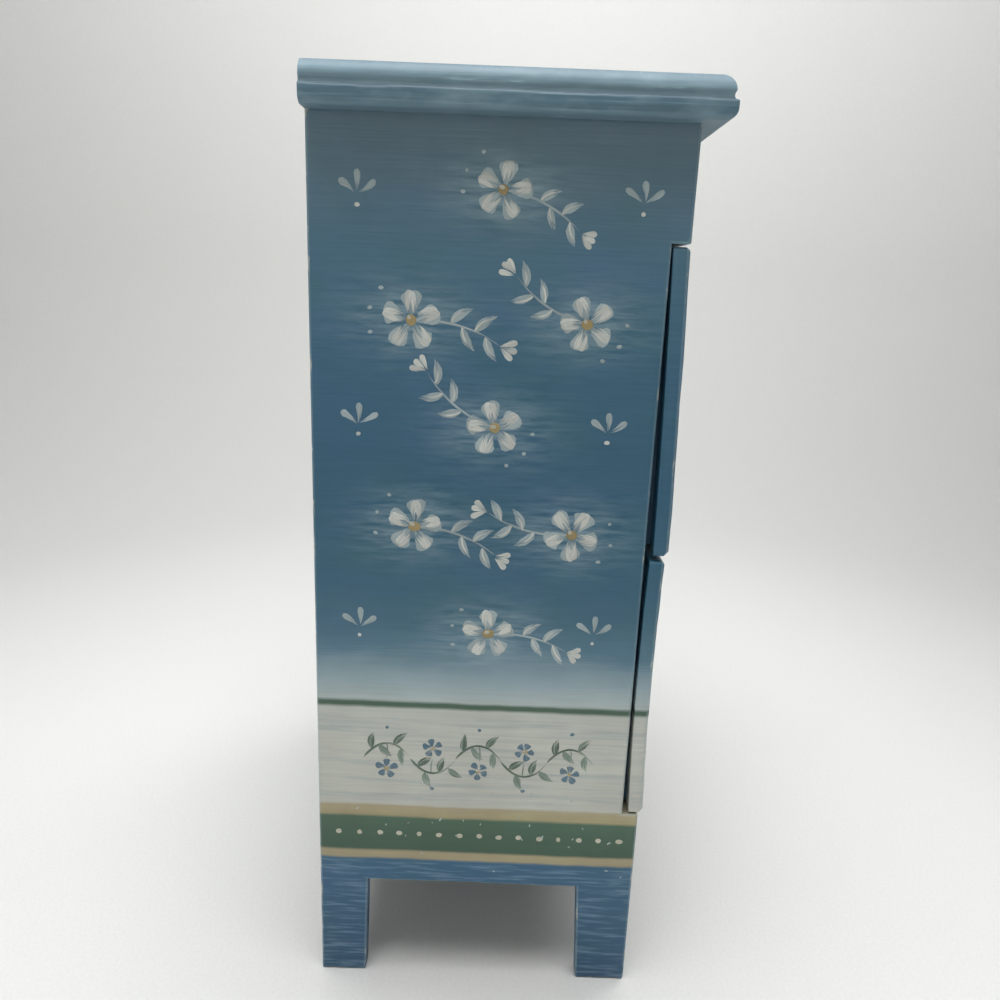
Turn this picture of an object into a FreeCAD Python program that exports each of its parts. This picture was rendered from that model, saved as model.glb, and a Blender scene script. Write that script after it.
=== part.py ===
import FreeCAD, Part
import math
import os

from FreeCAD import Vector

# Mini wooden chest on cut-out legs, with two overlay drawers and a moulded top.
# Millimetres. +Z is up and the drawers face -Y.
# Pieces are made with the rear face at Y = 0, and a depth is measured forwards from that face.
# At the end they all move so that the origin is the bottom centre of the whole chest.

# Carcass
carcass_width = 220.0
side_depth = 130.0
side_thickness = 7.0
base_height = 81.8
frieze_height = 37.5
rail_thickness = 6.5
shelf_thickness = 6.5
shelf_lap = 1.5
shelf_housing_depth = 2.0
edge_softening = 0.7

# Legs, sawn slightly narrower at the foot than at the top of the cut-out
arch_height = 46.0
rear_leg_foot_width = 18.6
rear_leg_top_width = 19.8
front_leg_foot_width = 20.7
front_leg_top_width = 22.8
foot_rounding = 0.8

# Back panel in a rebate
back_thickness = 3.0
back_rebate_width = 3.5
back_panel_clearance = 0.2

# Moulded top board
top_thickness = 14.0
top_overhang = 9.0
lip_height = 6.1
lip_bottom_radius = 3.0
lip_top_radius = 0.8
ledge_width = 0.9
quirk_height = 2.3
quirk_depth = 0.5
top_rear_softening = 0.6

# Dowels that hold the top
dowel_diameter = 4.0
dowel_length = 14.0
dowel_end_distance = 24.0

# Drawer fronts, which overlay the front edges of the carcass
front_thickness = 6.0
front_rounding = 1.8
front_back_softening = 0.4
front_end_inset = 0.3
lower_front_height = 108.4
upper_front_height = 110.6
front_bottom_gap = 0.4
front_middle_gap = 1.9
front_top_gap = 0.9

# How far each warped front stands off the carcass at its bottom, middle and top
lower_front_standoffs = (2.6, 1.4, 2.1)
upper_front_standoffs = (3.1, 2.2, 0.6)

# Drawer boxes
box_side_thickness = 6.0
box_back_thickness = 6.0
box_side_clearance = 0.8
box_bottom_clearance = 0.2
box_top_clearance = 1.2
box_rear_clearance = 0.5
front_housing_depth = 2.0
panel_thickness = 3.0
panel_rise = 5.0
groove_depth = 2.5
panel_edge_clearance = 0.3

# Turned knobs and their screws
knob_head_radius = 10.0
knob_head_distance = 10.5
knob_rim_radius = 3.2
knob_length = 17.0
knob_neck_radius = 4.2
knob_base_radius = 5.5
knob_seat_depth = 0.3
screw_diameter = 3.0
screw_hole_clearance = 0.2
screw_grip = 11.0
screw_head_diameter = 6.4
screw_head_height = 1.8
screw_seat_depth = 0.3
screw_slot_width = 0.8
screw_slot_depth = 0.8

# Brads
brad_diameter = 1.2
brad_length = 14.0
brad_head_diameter = 2.2
brad_head_height = 0.5
box_brads_per_corner = 3
box_brad_margin = 18.0
back_brads_per_side = 4
back_brad_margin = 22.0
shelf_brad_spacing = 80.0

# Heights and depths that follow from the sizes above
lower_front_bottom = base_height + front_bottom_gap
lower_front_top = lower_front_bottom + lower_front_height
upper_front_bottom = lower_front_top + front_middle_gap
upper_front_top = upper_front_bottom + upper_front_height
frieze_bottom = upper_front_top + front_top_gap
side_height = frieze_bottom + frieze_height
rail_plane = side_depth - rail_thickness
bottom_board_top = base_height + shelf_lap
middle_shelf_middle = (lower_front_top + upper_front_bottom) / 2
middle_shelf_bottom = middle_shelf_middle - shelf_thickness / 2
middle_shelf_top = middle_shelf_middle + shelf_thickness / 2
upper_shelf_bottom = frieze_bottom - shelf_lap
inner_half_width = carcass_width / 2 - side_thickness
box_half_width = inner_half_width - box_side_clearance
box_rear = back_thickness + box_rear_clearance


def block(x_from, x_to, depth_from, depth_to, z_from, z_to):
    """A board with square edges, between two widths, two depths from the rear and two heights."""
    corner = Vector(x_from, -depth_to, z_from)
    return Part.makeBox(x_to - x_from, depth_to - depth_from, z_to - z_from, corner)


def at(depth, z, x=0.0):
    """The point at a depth forwards from the rear face."""
    return Vector(x, -depth, z)


def line(start, end):
    return Part.LineSegment(start, end).toShape()


def bowed_line(start, middle, end):
    """An arc through three points, or a straight line where they are in line."""
    if (middle - start).cross(end - start).Length < 1e-6:
        return line(start, end)
    return Part.Arc(start, middle, end).toShape()


def arc_about(centre, start, end):
    """An arc of less than half a turn about a centre."""
    radius = (start - centre).Length
    middle = (start - centre) + (end - centre)
    middle.normalize()
    return Part.Arc(start, centre + middle * radius, end).toShape()


def face_of(edges):
    return Part.Face(Part.Wire(Part.sortEdges(edges)[0]))


def mirrored(shape):
    """The same shape on the other side of the chest's middle plane."""
    return shape.mirror(Vector(0, 0, 0), Vector(1, 0, 0))


def brad(head, direction):
    """A brad whose head lies flush at a point and whose shank runs along a direction."""
    shank = Part.makeCylinder(brad_diameter / 2, brad_length, head, direction)
    top = Part.makeCylinder(brad_head_diameter / 2, brad_head_height, head, direction)
    return shank.fuse(top).removeSplitter()


def spread(first, last, count):
    """Evenly spaced places from the first to the last."""
    return [first + (last - first) * step / (count - 1) for step in range(count)]


def side_blank():
    """The left side board: a notch for the fronts, two legs and softened outer edges."""
    outline = [
        at(0, 0),
        at(rear_leg_foot_width, 0),
        at(rear_leg_top_width, arch_height),
        at(side_depth - front_leg_top_width, arch_height),
        at(side_depth - front_leg_foot_width, 0),
        at(side_depth, 0),
        at(side_depth, base_height),
        at(rail_plane, base_height),
        at(rail_plane, frieze_bottom),
        at(side_depth, frieze_bottom),
        at(side_depth, side_height),
        at(0, side_height),
        at(0, 0),
    ]
    board = Part.Face(Part.makePolygon(outline)).extrude(Vector(side_thickness, 0, 0))
    board.translate(Vector(-carcass_width / 2, 0, 0))
    foot_edges = [
        edge for edge in board.Edges
        if edge.BoundBox.ZMax < foot_rounding and edge.BoundBox.XLength > side_thickness / 2
    ]
    board = board.makeFillet(min(foot_rounding, rear_leg_foot_width / 4), foot_edges)
    outer_face = min(board.Faces, key=lambda face: face.CenterOfMass.x)
    outer_edges = [edge for edge in outer_face.Edges if edge.BoundBox.ZMin < side_height - edge_softening]
    return board.makeFillet(min(edge_softening, side_thickness / 4), outer_edges)


def back_rebate():
    """The space cut out of the left side's inner rear edge for the back panel."""
    inner_face = -inner_half_width
    return block(inner_face - back_rebate_width, inner_face, 0, back_thickness, arch_height, side_height)


def shelf(bottom):
    """A board between the sides, let into a housing in each."""
    half_width = inner_half_width + shelf_housing_depth
    return block(-half_width, half_width, back_thickness, rail_plane, bottom, bottom + shelf_thickness)


def rail(z_from, z_to):
    """A board between the sides, glued to the front edge of the shelf behind it."""
    return block(-inner_half_width, inner_half_width, rail_plane, side_depth, z_from, z_to)


def back_panel_blank():
    half_width = inner_half_width + back_rebate_width - back_panel_clearance
    return block(-half_width, half_width, 0, back_thickness, arch_height, side_height)


def back_panel_brads():
    """Brads through the back panel into the sides and the three shelves."""
    forwards = Vector(0, -1, 0)
    side_middle = inner_half_width + back_rebate_width / 2
    heights = spread(arch_height + back_brad_margin, side_height - back_brad_margin, back_brads_per_side)
    places = [(sign * side_middle, z) for sign in (-1, 1) for z in heights]
    for bottom in (bottom_board_top - shelf_thickness, middle_shelf_bottom, upper_shelf_bottom):
        middle = bottom + shelf_thickness / 2
        places += [(sign * shelf_brad_spacing / 2, middle) for sign in (-1, 1)]
    return Part.makeCompound([brad(at(0, z, x), forwards) for x, z in places])


def top_board_dowels():
    """Four dowels, half in the top edges of the sides and half in the top board."""
    middle = carcass_width / 2 - side_thickness / 2
    bottom = side_height - dowel_length / 2
    return Part.makeCompound([
        Part.makeCylinder(dowel_diameter / 2, dowel_length, at(depth, bottom, x))
        for x in (-middle, middle)
        for depth in (dowel_end_distance, side_depth - dowel_end_distance)
    ])


def moulding(corner, inwards):
    """Edges of the moulded rim in section, from its underside up to its top face."""
    def point(inset, height):
        return corner + inwards * inset + Vector(0, 0, height)

    quirk_top = lip_height + quirk_height
    roundover = top_thickness - quirk_top
    shoulder = lip_height - lip_top_radius
    return [
        arc_about(
            point(lip_bottom_radius, lip_bottom_radius),
            point(lip_bottom_radius, 0),
            point(0, lip_bottom_radius)),
        line(point(0, lip_bottom_radius), point(0, shoulder)),
        arc_about(point(lip_top_radius, shoulder), point(0, shoulder), point(lip_top_radius, lip_height)),
        line(point(lip_top_radius, lip_height), point(ledge_width, lip_height)),
        bowed_line(
            point(ledge_width, lip_height),
            point(ledge_width + quirk_depth, lip_height + quirk_height / 2),
            point(ledge_width, quirk_top)),
        arc_about(
            point(ledge_width + roundover, quirk_top),
            point(ledge_width, quirk_top),
            point(ledge_width + roundover, top_thickness)),
    ]


def ends_of(edges):
    """The underside point and the top point of a moulded rim."""
    points = sorted((vertex.Point for edge in edges for vertex in edge.Vertexes), key=lambda p: p.z)
    return points[0], points[-1]


def top_board_blank():
    """The top board: one section through its width and one through its depth, mitred together."""
    half_width = carcass_width / 2 + top_overhang
    front = side_depth + top_overhang
    left = moulding(at(0, side_height, -half_width), Vector(1, 0, 0))
    right = moulding(at(0, side_height, half_width), Vector(-1, 0, 0))
    left_foot, left_top = ends_of(left)
    right_foot, right_top = ends_of(right)
    across = face_of(left + right + [line(left_foot, right_foot), line(left_top, right_top)])
    across = across.extrude(at(front, 0))
    rim = moulding(at(front, side_height, -half_width), Vector(0, 1, 0))
    foot, top = ends_of(rim)
    rear_foot = at(0, side_height, -half_width)
    rear_top = at(0, side_height + top_thickness, -half_width)
    square_rear = [line(foot, rear_foot), line(rear_foot, rear_top), line(rear_top, top)]
    along = face_of(rim + square_rear).extrude(Vector(2 * half_width, 0, 0))
    board = across.common(along)
    rear_edges = [
        edge for edge in board.Edges
        if edge.BoundBox.YMin > -top_rear_softening and edge.BoundBox.ZMin > side_height + top_thickness / 2
        and edge.BoundBox.XLength > half_width
    ]
    return board.makeFillet(top_rear_softening, rear_edges)


def front_profile(z_bottom, z_top, standoffs):
    """The back and outer faces of a warped front in section, each as three points from the bottom up."""
    heights = (z_bottom, (z_bottom + z_top) / 2, z_top)
    back = [at(rail_plane + standoff, z) for standoff, z in zip(standoffs, heights)]
    outer = [point + at(front_thickness, 0) for point in back]
    return back, outer


def front_blank(z_bottom, z_top, standoffs):
    """A warped front with square edges, as wide as the carcass."""
    back, outer = front_profile(z_bottom, z_top, standoffs)
    half_width = carcass_width / 2 - front_end_inset
    section = face_of([
        bowed_line(*back),
        bowed_line(*outer),
        line(back[0], outer[0]),
        line(back[-1], outer[-1]),
    ])
    section.translate(Vector(-half_width, 0, 0))
    return section.extrude(Vector(2 * half_width, 0, 0))


def rounded_front(blank):
    """The front with its outer edges rounded over and its back edges eased."""
    outer_face = min(blank.Faces, key=lambda face: face.CenterOfMass.y)
    rounded = blank.makeFillet(min(front_rounding, front_thickness / 2.5), outer_face.Edges)
    back_face = max(rounded.Faces, key=lambda face: face.CenterOfMass.y)
    return rounded.makeFillet(min(front_back_softening, front_thickness / 4), back_face.Edges)


def trimmed(blank, front, depth):
    """A blank whose front end is cut to the back face of a front, let into it by a depth."""
    moved = front.copy()
    moved.translate(at(depth, 0))
    return blank.cut(moved)


def on_front(shape, z_bottom, z_top, standoffs):
    """A shape made along -Y from the origin, set square on the middle of a front's outer face."""
    _, outer = front_profile(z_bottom, z_top, standoffs)
    lean = math.degrees(math.atan2(outer[-1].y - outer[0].y, outer[-1].z - outer[0].z))
    placed = shape.copy()
    placed.rotate(Vector(0, 0, 0), Vector(1, 0, 0), -lean)
    placed.translate(outer[1])
    return placed


def knob_blank():
    """A turned knob that starts in its seat below the front's outer face."""
    def point(radius, distance):
        return Vector(radius, knob_seat_depth - distance, 0)

    rim_centre_radius = knob_head_radius - knob_rim_radius
    rim_reach = knob_length - knob_rim_radius
    dome_centre = (rim_reach**2 - rim_centre_radius**2 - knob_head_distance**2) / (
        2 * (rim_reach - knob_head_distance))
    dome_radius = knob_length - dome_centre
    blend = dome_radius / (dome_radius - knob_rim_radius)
    blend_point = point(rim_centre_radius * blend, dome_centre + (knob_head_distance - dome_centre) * blend)
    rim_foot = knob_head_distance - knob_rim_radius
    cove_radius = rim_centre_radius - knob_neck_radius
    neck = rim_foot - cove_radius
    flare = knob_base_radius - knob_neck_radius
    flare_radius = (flare**2 + neck**2) / (2 * flare)
    profile = face_of([
        line(point(0, 0), point(knob_base_radius, 0)),
        arc_about(
            point(knob_neck_radius + flare_radius, neck),
            point(knob_base_radius, 0),
            point(knob_neck_radius, neck)),
        arc_about(
            point(rim_centre_radius, neck),
            point(knob_neck_radius, neck),
            point(rim_centre_radius, rim_foot)),
        bowed_line(point(rim_centre_radius, rim_foot), point(knob_head_radius, knob_head_distance), blend_point),
        arc_about(point(0, dome_centre), blend_point, point(0, knob_length)),
        line(point(0, knob_length), point(0, 0)),
    ])
    return profile.revolve(Vector(0, 0, 0), Vector(0, 1, 0), 360)


def screw_blank():
    """A slotted screw from inside the front into the knob."""
    forwards = Vector(0, -1, 0)
    bearing = Vector(0, front_thickness - screw_seat_depth, 0)
    head_end = bearing + Vector(0, screw_head_height, 0)
    shank_length = bearing.y - knob_seat_depth + screw_grip
    shank = Part.makeCylinder(screw_diameter / 2, shank_length, bearing, forwards)
    head = Part.makeCylinder(screw_head_diameter / 2, screw_head_height, head_end, forwards)
    rim = [edge for edge in head.Edges if edge.BoundBox.YMin > head_end.y - screw_head_height / 4]
    head = head.makeFillet(screw_head_height / 3, [edge for edge in rim if edge.BoundBox.XLength > screw_diameter])
    slot = Part.makeBox(
        screw_head_diameter, screw_slot_depth, screw_slot_width,
        head_end - Vector(screw_head_diameter / 2, screw_slot_depth, screw_slot_width / 2))
    return shank.fuse(head).cut(slot)


def screw_clearance():
    """The hole through the front, with a flat seat for the screw's head and one for the knob."""
    forwards = Vector(0, -1, 0)
    inner = Vector(0, front_thickness + screw_seat_depth, 0)
    radius = screw_diameter / 2 + screw_hole_clearance
    hole = Part.makeCylinder(radius, front_thickness + 2 * screw_seat_depth, inner, forwards)
    head_seat = Part.makeCylinder(screw_head_diameter / 2, 2 * screw_seat_depth, inner, forwards)
    knob_seat = Part.makeCylinder(knob_base_radius, 2 * knob_seat_depth, Vector(0, knob_seat_depth, 0), forwards)
    return hole.fuse(head_seat).fuse(knob_seat)


def box_brads(z_bottom, z_top):
    """Brads through both box sides into the ends of the box back."""
    depth = box_rear + box_back_thickness / 2
    heights = spread(z_bottom + box_brad_margin, z_top - box_brad_margin, box_brads_per_corner)
    return Part.makeCompound([
        brad(at(depth, z, sign * box_half_width), Vector(-sign, 0, 0))
        for sign in (-1, 1)
        for z in heights
    ])


def drawer(name, z_bottom, z_top, standoffs, cavity_bottom, cavity_top):
    """Every piece of one drawer, by the name of its node."""
    blank = front_blank(z_bottom, z_top, standoffs)
    box_bottom = cavity_bottom + box_bottom_clearance
    box_top = cavity_top - box_top_clearance
    reach = rail_plane + front_housing_depth + (max(standoffs) + min(standoffs) + front_thickness) / 2
    side_inner = -box_half_width + box_side_thickness
    panel_bottom = box_bottom + panel_rise
    panel_top = panel_bottom + panel_thickness

    left = block(-box_half_width, side_inner, box_rear, reach, box_bottom, box_top)
    left = trimmed(left, blank, front_housing_depth)
    groove = block(side_inner - groove_depth, side_inner, box_rear, reach, panel_bottom, panel_top)
    left = left.cut(groove)
    right = mirrored(left)

    panel_half_width = -side_inner + groove_depth - panel_edge_clearance
    back_inner = box_rear + box_back_thickness
    panel_rear = back_inner - groove_depth + panel_edge_clearance
    panel = block(-panel_half_width, panel_half_width, panel_rear, reach, panel_bottom, panel_top)
    panel = trimmed(panel, blank, front_housing_depth)

    back = block(side_inner, -side_inner, box_rear, back_inner, box_bottom, box_top)
    back = back.cut(block(side_inner, -side_inner, back_inner - groove_depth, back_inner, panel_bottom, panel_top))

    placing = (z_bottom, z_top, standoffs)
    screw = on_front(screw_blank(), *placing)
    knob = on_front(knob_blank(), *placing).cut(screw)
    front = rounded_front(blank).cut([left, right, panel, on_front(screw_clearance(), *placing)])
    brads = box_brads(box_bottom, box_top)
    return {
        name + "_drawer_front": front,
        name + "_drawer_left_side": left.cut(brads),
        name + "_drawer_right_side": right.cut(brads),
        name + "_drawer_back": back.cut(brads),
        name + "_drawer_bottom": panel,
        name + "_drawer_brads": brads,
        name + "_drawer_knob": knob,
        name + "_drawer_knob_screw": screw,
    }


def carcass():
    """Every piece of the carcass, by the name of its node."""
    bottom_board = shelf(bottom_board_top - shelf_thickness)
    middle_shelf = shelf(middle_shelf_bottom)
    upper_shelf = shelf(upper_shelf_bottom)
    dowels = top_board_dowels()
    brads = back_panel_brads()
    rebate = back_rebate()
    fitted = [bottom_board, middle_shelf, upper_shelf, dowels, brads]
    blank = side_blank()
    return {
        "side_panel_left": blank.cut([rebate] + fitted),
        "side_panel_right": mirrored(blank).cut([mirrored(rebate)] + fitted),
        "top_board": top_board_blank().cut(dowels),
        "frieze_board": rail(frieze_bottom, side_height),
        "front_apron": rail(arch_height, base_height),
        "upper_shelf": upper_shelf.cut(brads),
        "middle_shelf": middle_shelf.cut(brads),
        "bottom_board": bottom_board.cut(brads),
        "back_panel": back_panel_blank().cut(brads),
        "back_panel_brads": brads,
        "top_board_dowels": dowels,
    }


def moved_to_origin(parts):
    """Every piece, moved together so that the origin is the bottom centre of the chest."""
    box = Part.makeCompound(list(parts.values())).optimalBoundingBox(False, False)
    shift = Vector(0, -(box.YMin + box.YMax) / 2, 0)
    for shape in parts.values():
        shape.translate(shift)
    return parts


chest = carcass()
chest.update(drawer(
    "lower", lower_front_bottom, lower_front_top, lower_front_standoffs,
    bottom_board_top, middle_shelf_bottom))
chest.update(drawer(
    "upper", upper_front_bottom, upper_front_top, upper_front_standoffs,
    middle_shelf_top, upper_shelf_bottom))

os.makedirs("parts", exist_ok=True)
for node, shape in moved_to_origin(chest).items():
    shape.exportStep("parts/" + node + ".step")
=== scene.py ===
"""Looks of a mini wooden chest: painted boards, a moulded top, two drawers and the studio round them."""
import logging
import math
from abc import ABC, abstractmethod
from collections.abc import Callable, Sequence
from dataclasses import dataclass, field
from enum import Enum
from functools import cache
from typing import NamedTuple

import bpy
import numpy as np
from mathutils import Matrix, Vector


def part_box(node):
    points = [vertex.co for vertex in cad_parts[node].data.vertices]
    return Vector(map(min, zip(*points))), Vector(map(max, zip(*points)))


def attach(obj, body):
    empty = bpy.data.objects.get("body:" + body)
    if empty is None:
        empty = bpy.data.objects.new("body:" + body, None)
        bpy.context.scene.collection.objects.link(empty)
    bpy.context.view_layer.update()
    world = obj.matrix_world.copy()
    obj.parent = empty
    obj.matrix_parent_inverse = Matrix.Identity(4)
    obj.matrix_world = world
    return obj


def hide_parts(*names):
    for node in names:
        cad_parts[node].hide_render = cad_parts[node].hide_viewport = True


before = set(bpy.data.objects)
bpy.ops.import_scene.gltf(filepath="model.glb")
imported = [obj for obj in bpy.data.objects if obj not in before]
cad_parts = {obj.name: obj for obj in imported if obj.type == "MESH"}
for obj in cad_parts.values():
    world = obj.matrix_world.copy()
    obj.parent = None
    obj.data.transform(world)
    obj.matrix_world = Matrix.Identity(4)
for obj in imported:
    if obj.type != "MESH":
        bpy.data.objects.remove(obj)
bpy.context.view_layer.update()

MM = 0.001
WHOLE = math.tau
QUARTER = math.pi / 2
NOWHERE = -1e4
TINY = 1e-9
JOINED_WITHIN = 0.01
EASED_FROM = 40
RUBBING_SEED, DECORATION_SEED, SPRIG_SEED, SPECK_SEED = 500, 900, 70, 5
Socket = bpy.types.NodeSocket
Array = np.ndarray
Point = tuple[float, float]
Rectangle = tuple[float, float, float, float]
Placing = Callable[[Array, Array, Array], Array]
log = logging.getLogger("chest")


class Side(Enum):
    """Which end of the chest a piece belongs to, as the sign of its X."""

    LEFT = -1
    RIGHT = 1


class Grain(Enum):
    """The way the fibres run in a board."""

    ALONG_X = (1, 0, 0)
    ALONG_Y = (0, 1, 0)
    ALONG_Z = (0, 0, 1)


class Touch(Enum):
    """How a loaded brush is set down and lifted."""

    COMMA = "comma"
    LEAF = "leaf"
    LINER = "liner"
    DOT = "dot"


class Pigment(Enum):
    """The decorating paints, as sRGB hex."""

    WHITE = "#d3d5ce"
    PEARL = "#a9b6b8"
    SAGE = "#6d8377"
    FOREST = "#3f5a4a"
    OCHRE = "#a8935f"
    BLUE = "#41687f"
    CREAM = "#c9c6b4"


class Warp(NamedTuple):
    """How far a drawer front stands off at its bottom, middle and top, in millimetres."""

    bottom: float
    middle: float
    top: float


def linear(colour: str, alpha: float = 1.0) -> tuple[float, float, float, float]:
    """Turns an sRGB hex colour into linear values.

    Args:
        colour: The colour as a hash sign and six hex digits.
        alpha: The fourth value.

    Returns:
        Linear red, green and blue, and alpha.
    """
    parts = [int(colour[place:place + 2], 16) / 255 for place in (1, 3, 5)]
    red, green, blue = [
        part / 12.92 if part <= 0.04045 else ((part + 0.055) / 1.055) ** 2.4
        for part in parts
    ]
    return red, green, blue, alpha


def add_node(tree: bpy.types.NodeTree, kind: str, values: dict | None = None,
             links: dict | None = None, **settings: object) -> bpy.types.Node:
    """Adds one node with its settings, input values and links.

    Args:
        tree: The node tree that gets the node.
        kind: The node's type name without its ShaderNode prefix.
        values: Input values by input name or number.
        links: Output sockets by the name or number of the input that they feed.
        settings: The node's own properties.

    Returns:
        The new node.
    """
    node = tree.nodes.new("ShaderNode" + kind)
    for name, value in settings.items():
        setattr(node, name, value)
    for name, value in (values or {}).items():
        node.inputs[name].default_value = value
    for name, socket in (links or {}).items():
        tree.links.new(socket, node.inputs[name])
    return node


@dataclass(frozen=True)
class Extent:
    """The box of a CAD node at rest, in millimetres."""

    low: Array
    high: Array

    @classmethod
    def of(cls, node: str) -> "Extent":
        """Reads the box of a node from the frame."""
        low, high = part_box(node)
        return cls(np.array(low) / MM, np.array(high) / MM)

    @property
    def size(self) -> Array:
        """The box's three sides."""
        return self.high - self.low

    @property
    def middle(self) -> Array:
        """The middle of the box."""
        return (self.low + self.high) / 2


class Unevenness:
    """Slow seeded waves that keep a hand-made face from being a perfect plane."""

    def __init__(self, seed: int, height: float, shortest: float, longest: float, count: int = 14) -> None:
        """Draws the waves.

        Args:
            seed: Seed of the draw.
            height: Rough height of the waves in millimetres.
            shortest: Shortest wave in millimetres.
            longest: Longest wave in millimetres.
            count: How many waves are added up.
        """
        draw = np.random.default_rng(seed)
        lengths = draw.uniform(shortest, longest, count)
        turns = draw.uniform(0, WHOLE, count)
        self.across = np.cos(turns) * WHOLE / lengths
        self.along = np.sin(turns) * WHOLE / lengths
        self.start = draw.uniform(0, WHOLE, count)
        self.height = height / math.sqrt(count)

    def at(self, s: Array, t: Array) -> Array:
        """Gives the height of the face at points of its plane.

        Args:
            s: First coordinates in millimetres.
            t: Second coordinates in millimetres.

        Returns:
            Heights in millimetres.
        """
        s, t = np.broadcast_arrays(np.asarray(s, float), np.asarray(t, float))
        waves = s[..., None] * self.across + t[..., None] * self.along + self.start
        return self.height * np.sin(waves).sum(-1)


def away(x: float, y: float, angle: float, reach: float) -> Point:
    """Gives the point at an angle and a distance from another."""
    return x + reach * math.cos(angle), y + reach * math.sin(angle)


def tiles(grid: Array) -> Array:
    """Gives the four corners of each cell of a grid of vertex numbers."""
    return np.stack((grid[:-1, :-1], grid[1:, :-1], grid[1:, 1:], grid[:-1, 1:]), -1).reshape(-1, 4)


def arc(centre: Point, radius: float, start: float, end: float, steps: int) -> list[Point]:
    """Gives points on an arc between two angles in degrees, so many straight steps apart."""
    angles = np.radians(np.linspace(start, end, steps + 1))
    return [(centre[0] + radius * math.cos(a), centre[1] + radius * math.sin(a)) for a in angles]


def grid_lines(marks: Sequence[float], pitch: float) -> Array:
    """Spreads grid lines so that one falls on each mark.

    Args:
        marks: Places that need a line.
        pitch: The usual distance between lines.

    Returns:
        The lines in rising order.
    """
    marks = np.unique(np.round(np.asarray(marks, float), 4))
    spans = [
        np.linspace(low, high, max(1, round((high - low) / pitch)) + 1)[:-1]
        for low, high in zip(marks, marks[1:])
    ]
    return np.append(np.concatenate(spans), marks[-1])


def mesh_piece(name: str, points: Array, faces: list, material: bpy.types.Material,
               values: dict[str, Array] | None = None, sharp: float = 38.0) -> bpy.types.Object:
    """Makes a closed mesh piece from points in millimetres.

    Args:
        name: The piece's name.
        points: One row for each vertex.
        faces: Vertex numbers of each face.
        material: The piece's finish.
        values: Named values for each vertex, one number or one colour each.
        sharp: Edges that turn by more degrees than this stay crisp.

    Returns:
        The piece, linked to the scene.
    """
    mesh = bpy.data.meshes.new(name)
    mesh.from_pydata((np.asarray(points) * MM).tolist(), [], faces)
    mesh.calc_loop_triangles()
    corners = np.zeros(len(mesh.loop_triangles) * 3, np.int32)
    mesh.loop_triangles.foreach_get("vertices", corners)
    a, b, c = np.asarray(points)[corners.reshape(-1, 3)].transpose(1, 0, 2)
    if np.einsum("ij,ij->", a, np.cross(b, c)) < 0:
        mesh.flip_normals()
    for title, data in (values or {}).items():
        data = np.asarray(data, np.float32)
        kind, key = ("FLOAT_COLOR", "color") if data.ndim == 2 else ("FLOAT", "value")
        mesh.attributes.new(title, kind, "POINT").data.foreach_set(key, data.ravel())
    mesh.polygons.foreach_set("use_smooth", np.ones(len(mesh.polygons), bool))
    mesh.set_sharp_from_angle(angle=math.radians(sharp))
    mesh.materials.append(material)
    piece = bpy.data.objects.new(name, mesh)
    bpy.context.scene.collection.objects.link(piece)
    return piece


def settle(piece: bpy.types.Object, body: str, slot: str, *nodes: str) -> bpy.types.Object:
    """Rides a piece on its body and lets it stand for CAD nodes, which it hides.

    Args:
        piece: The piece.
        body: The CAD body that carries it.
        slot: The record's material slot; not used.
        nodes: The CAD nodes that it replaces.

    Returns:
        The same piece.
    """
    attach(piece, body)
    if nodes:
        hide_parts(*nodes)
    log.info("%s rides on %s, %d faces", piece.name, body, len(piece.data.polygons))
    return piece


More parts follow.
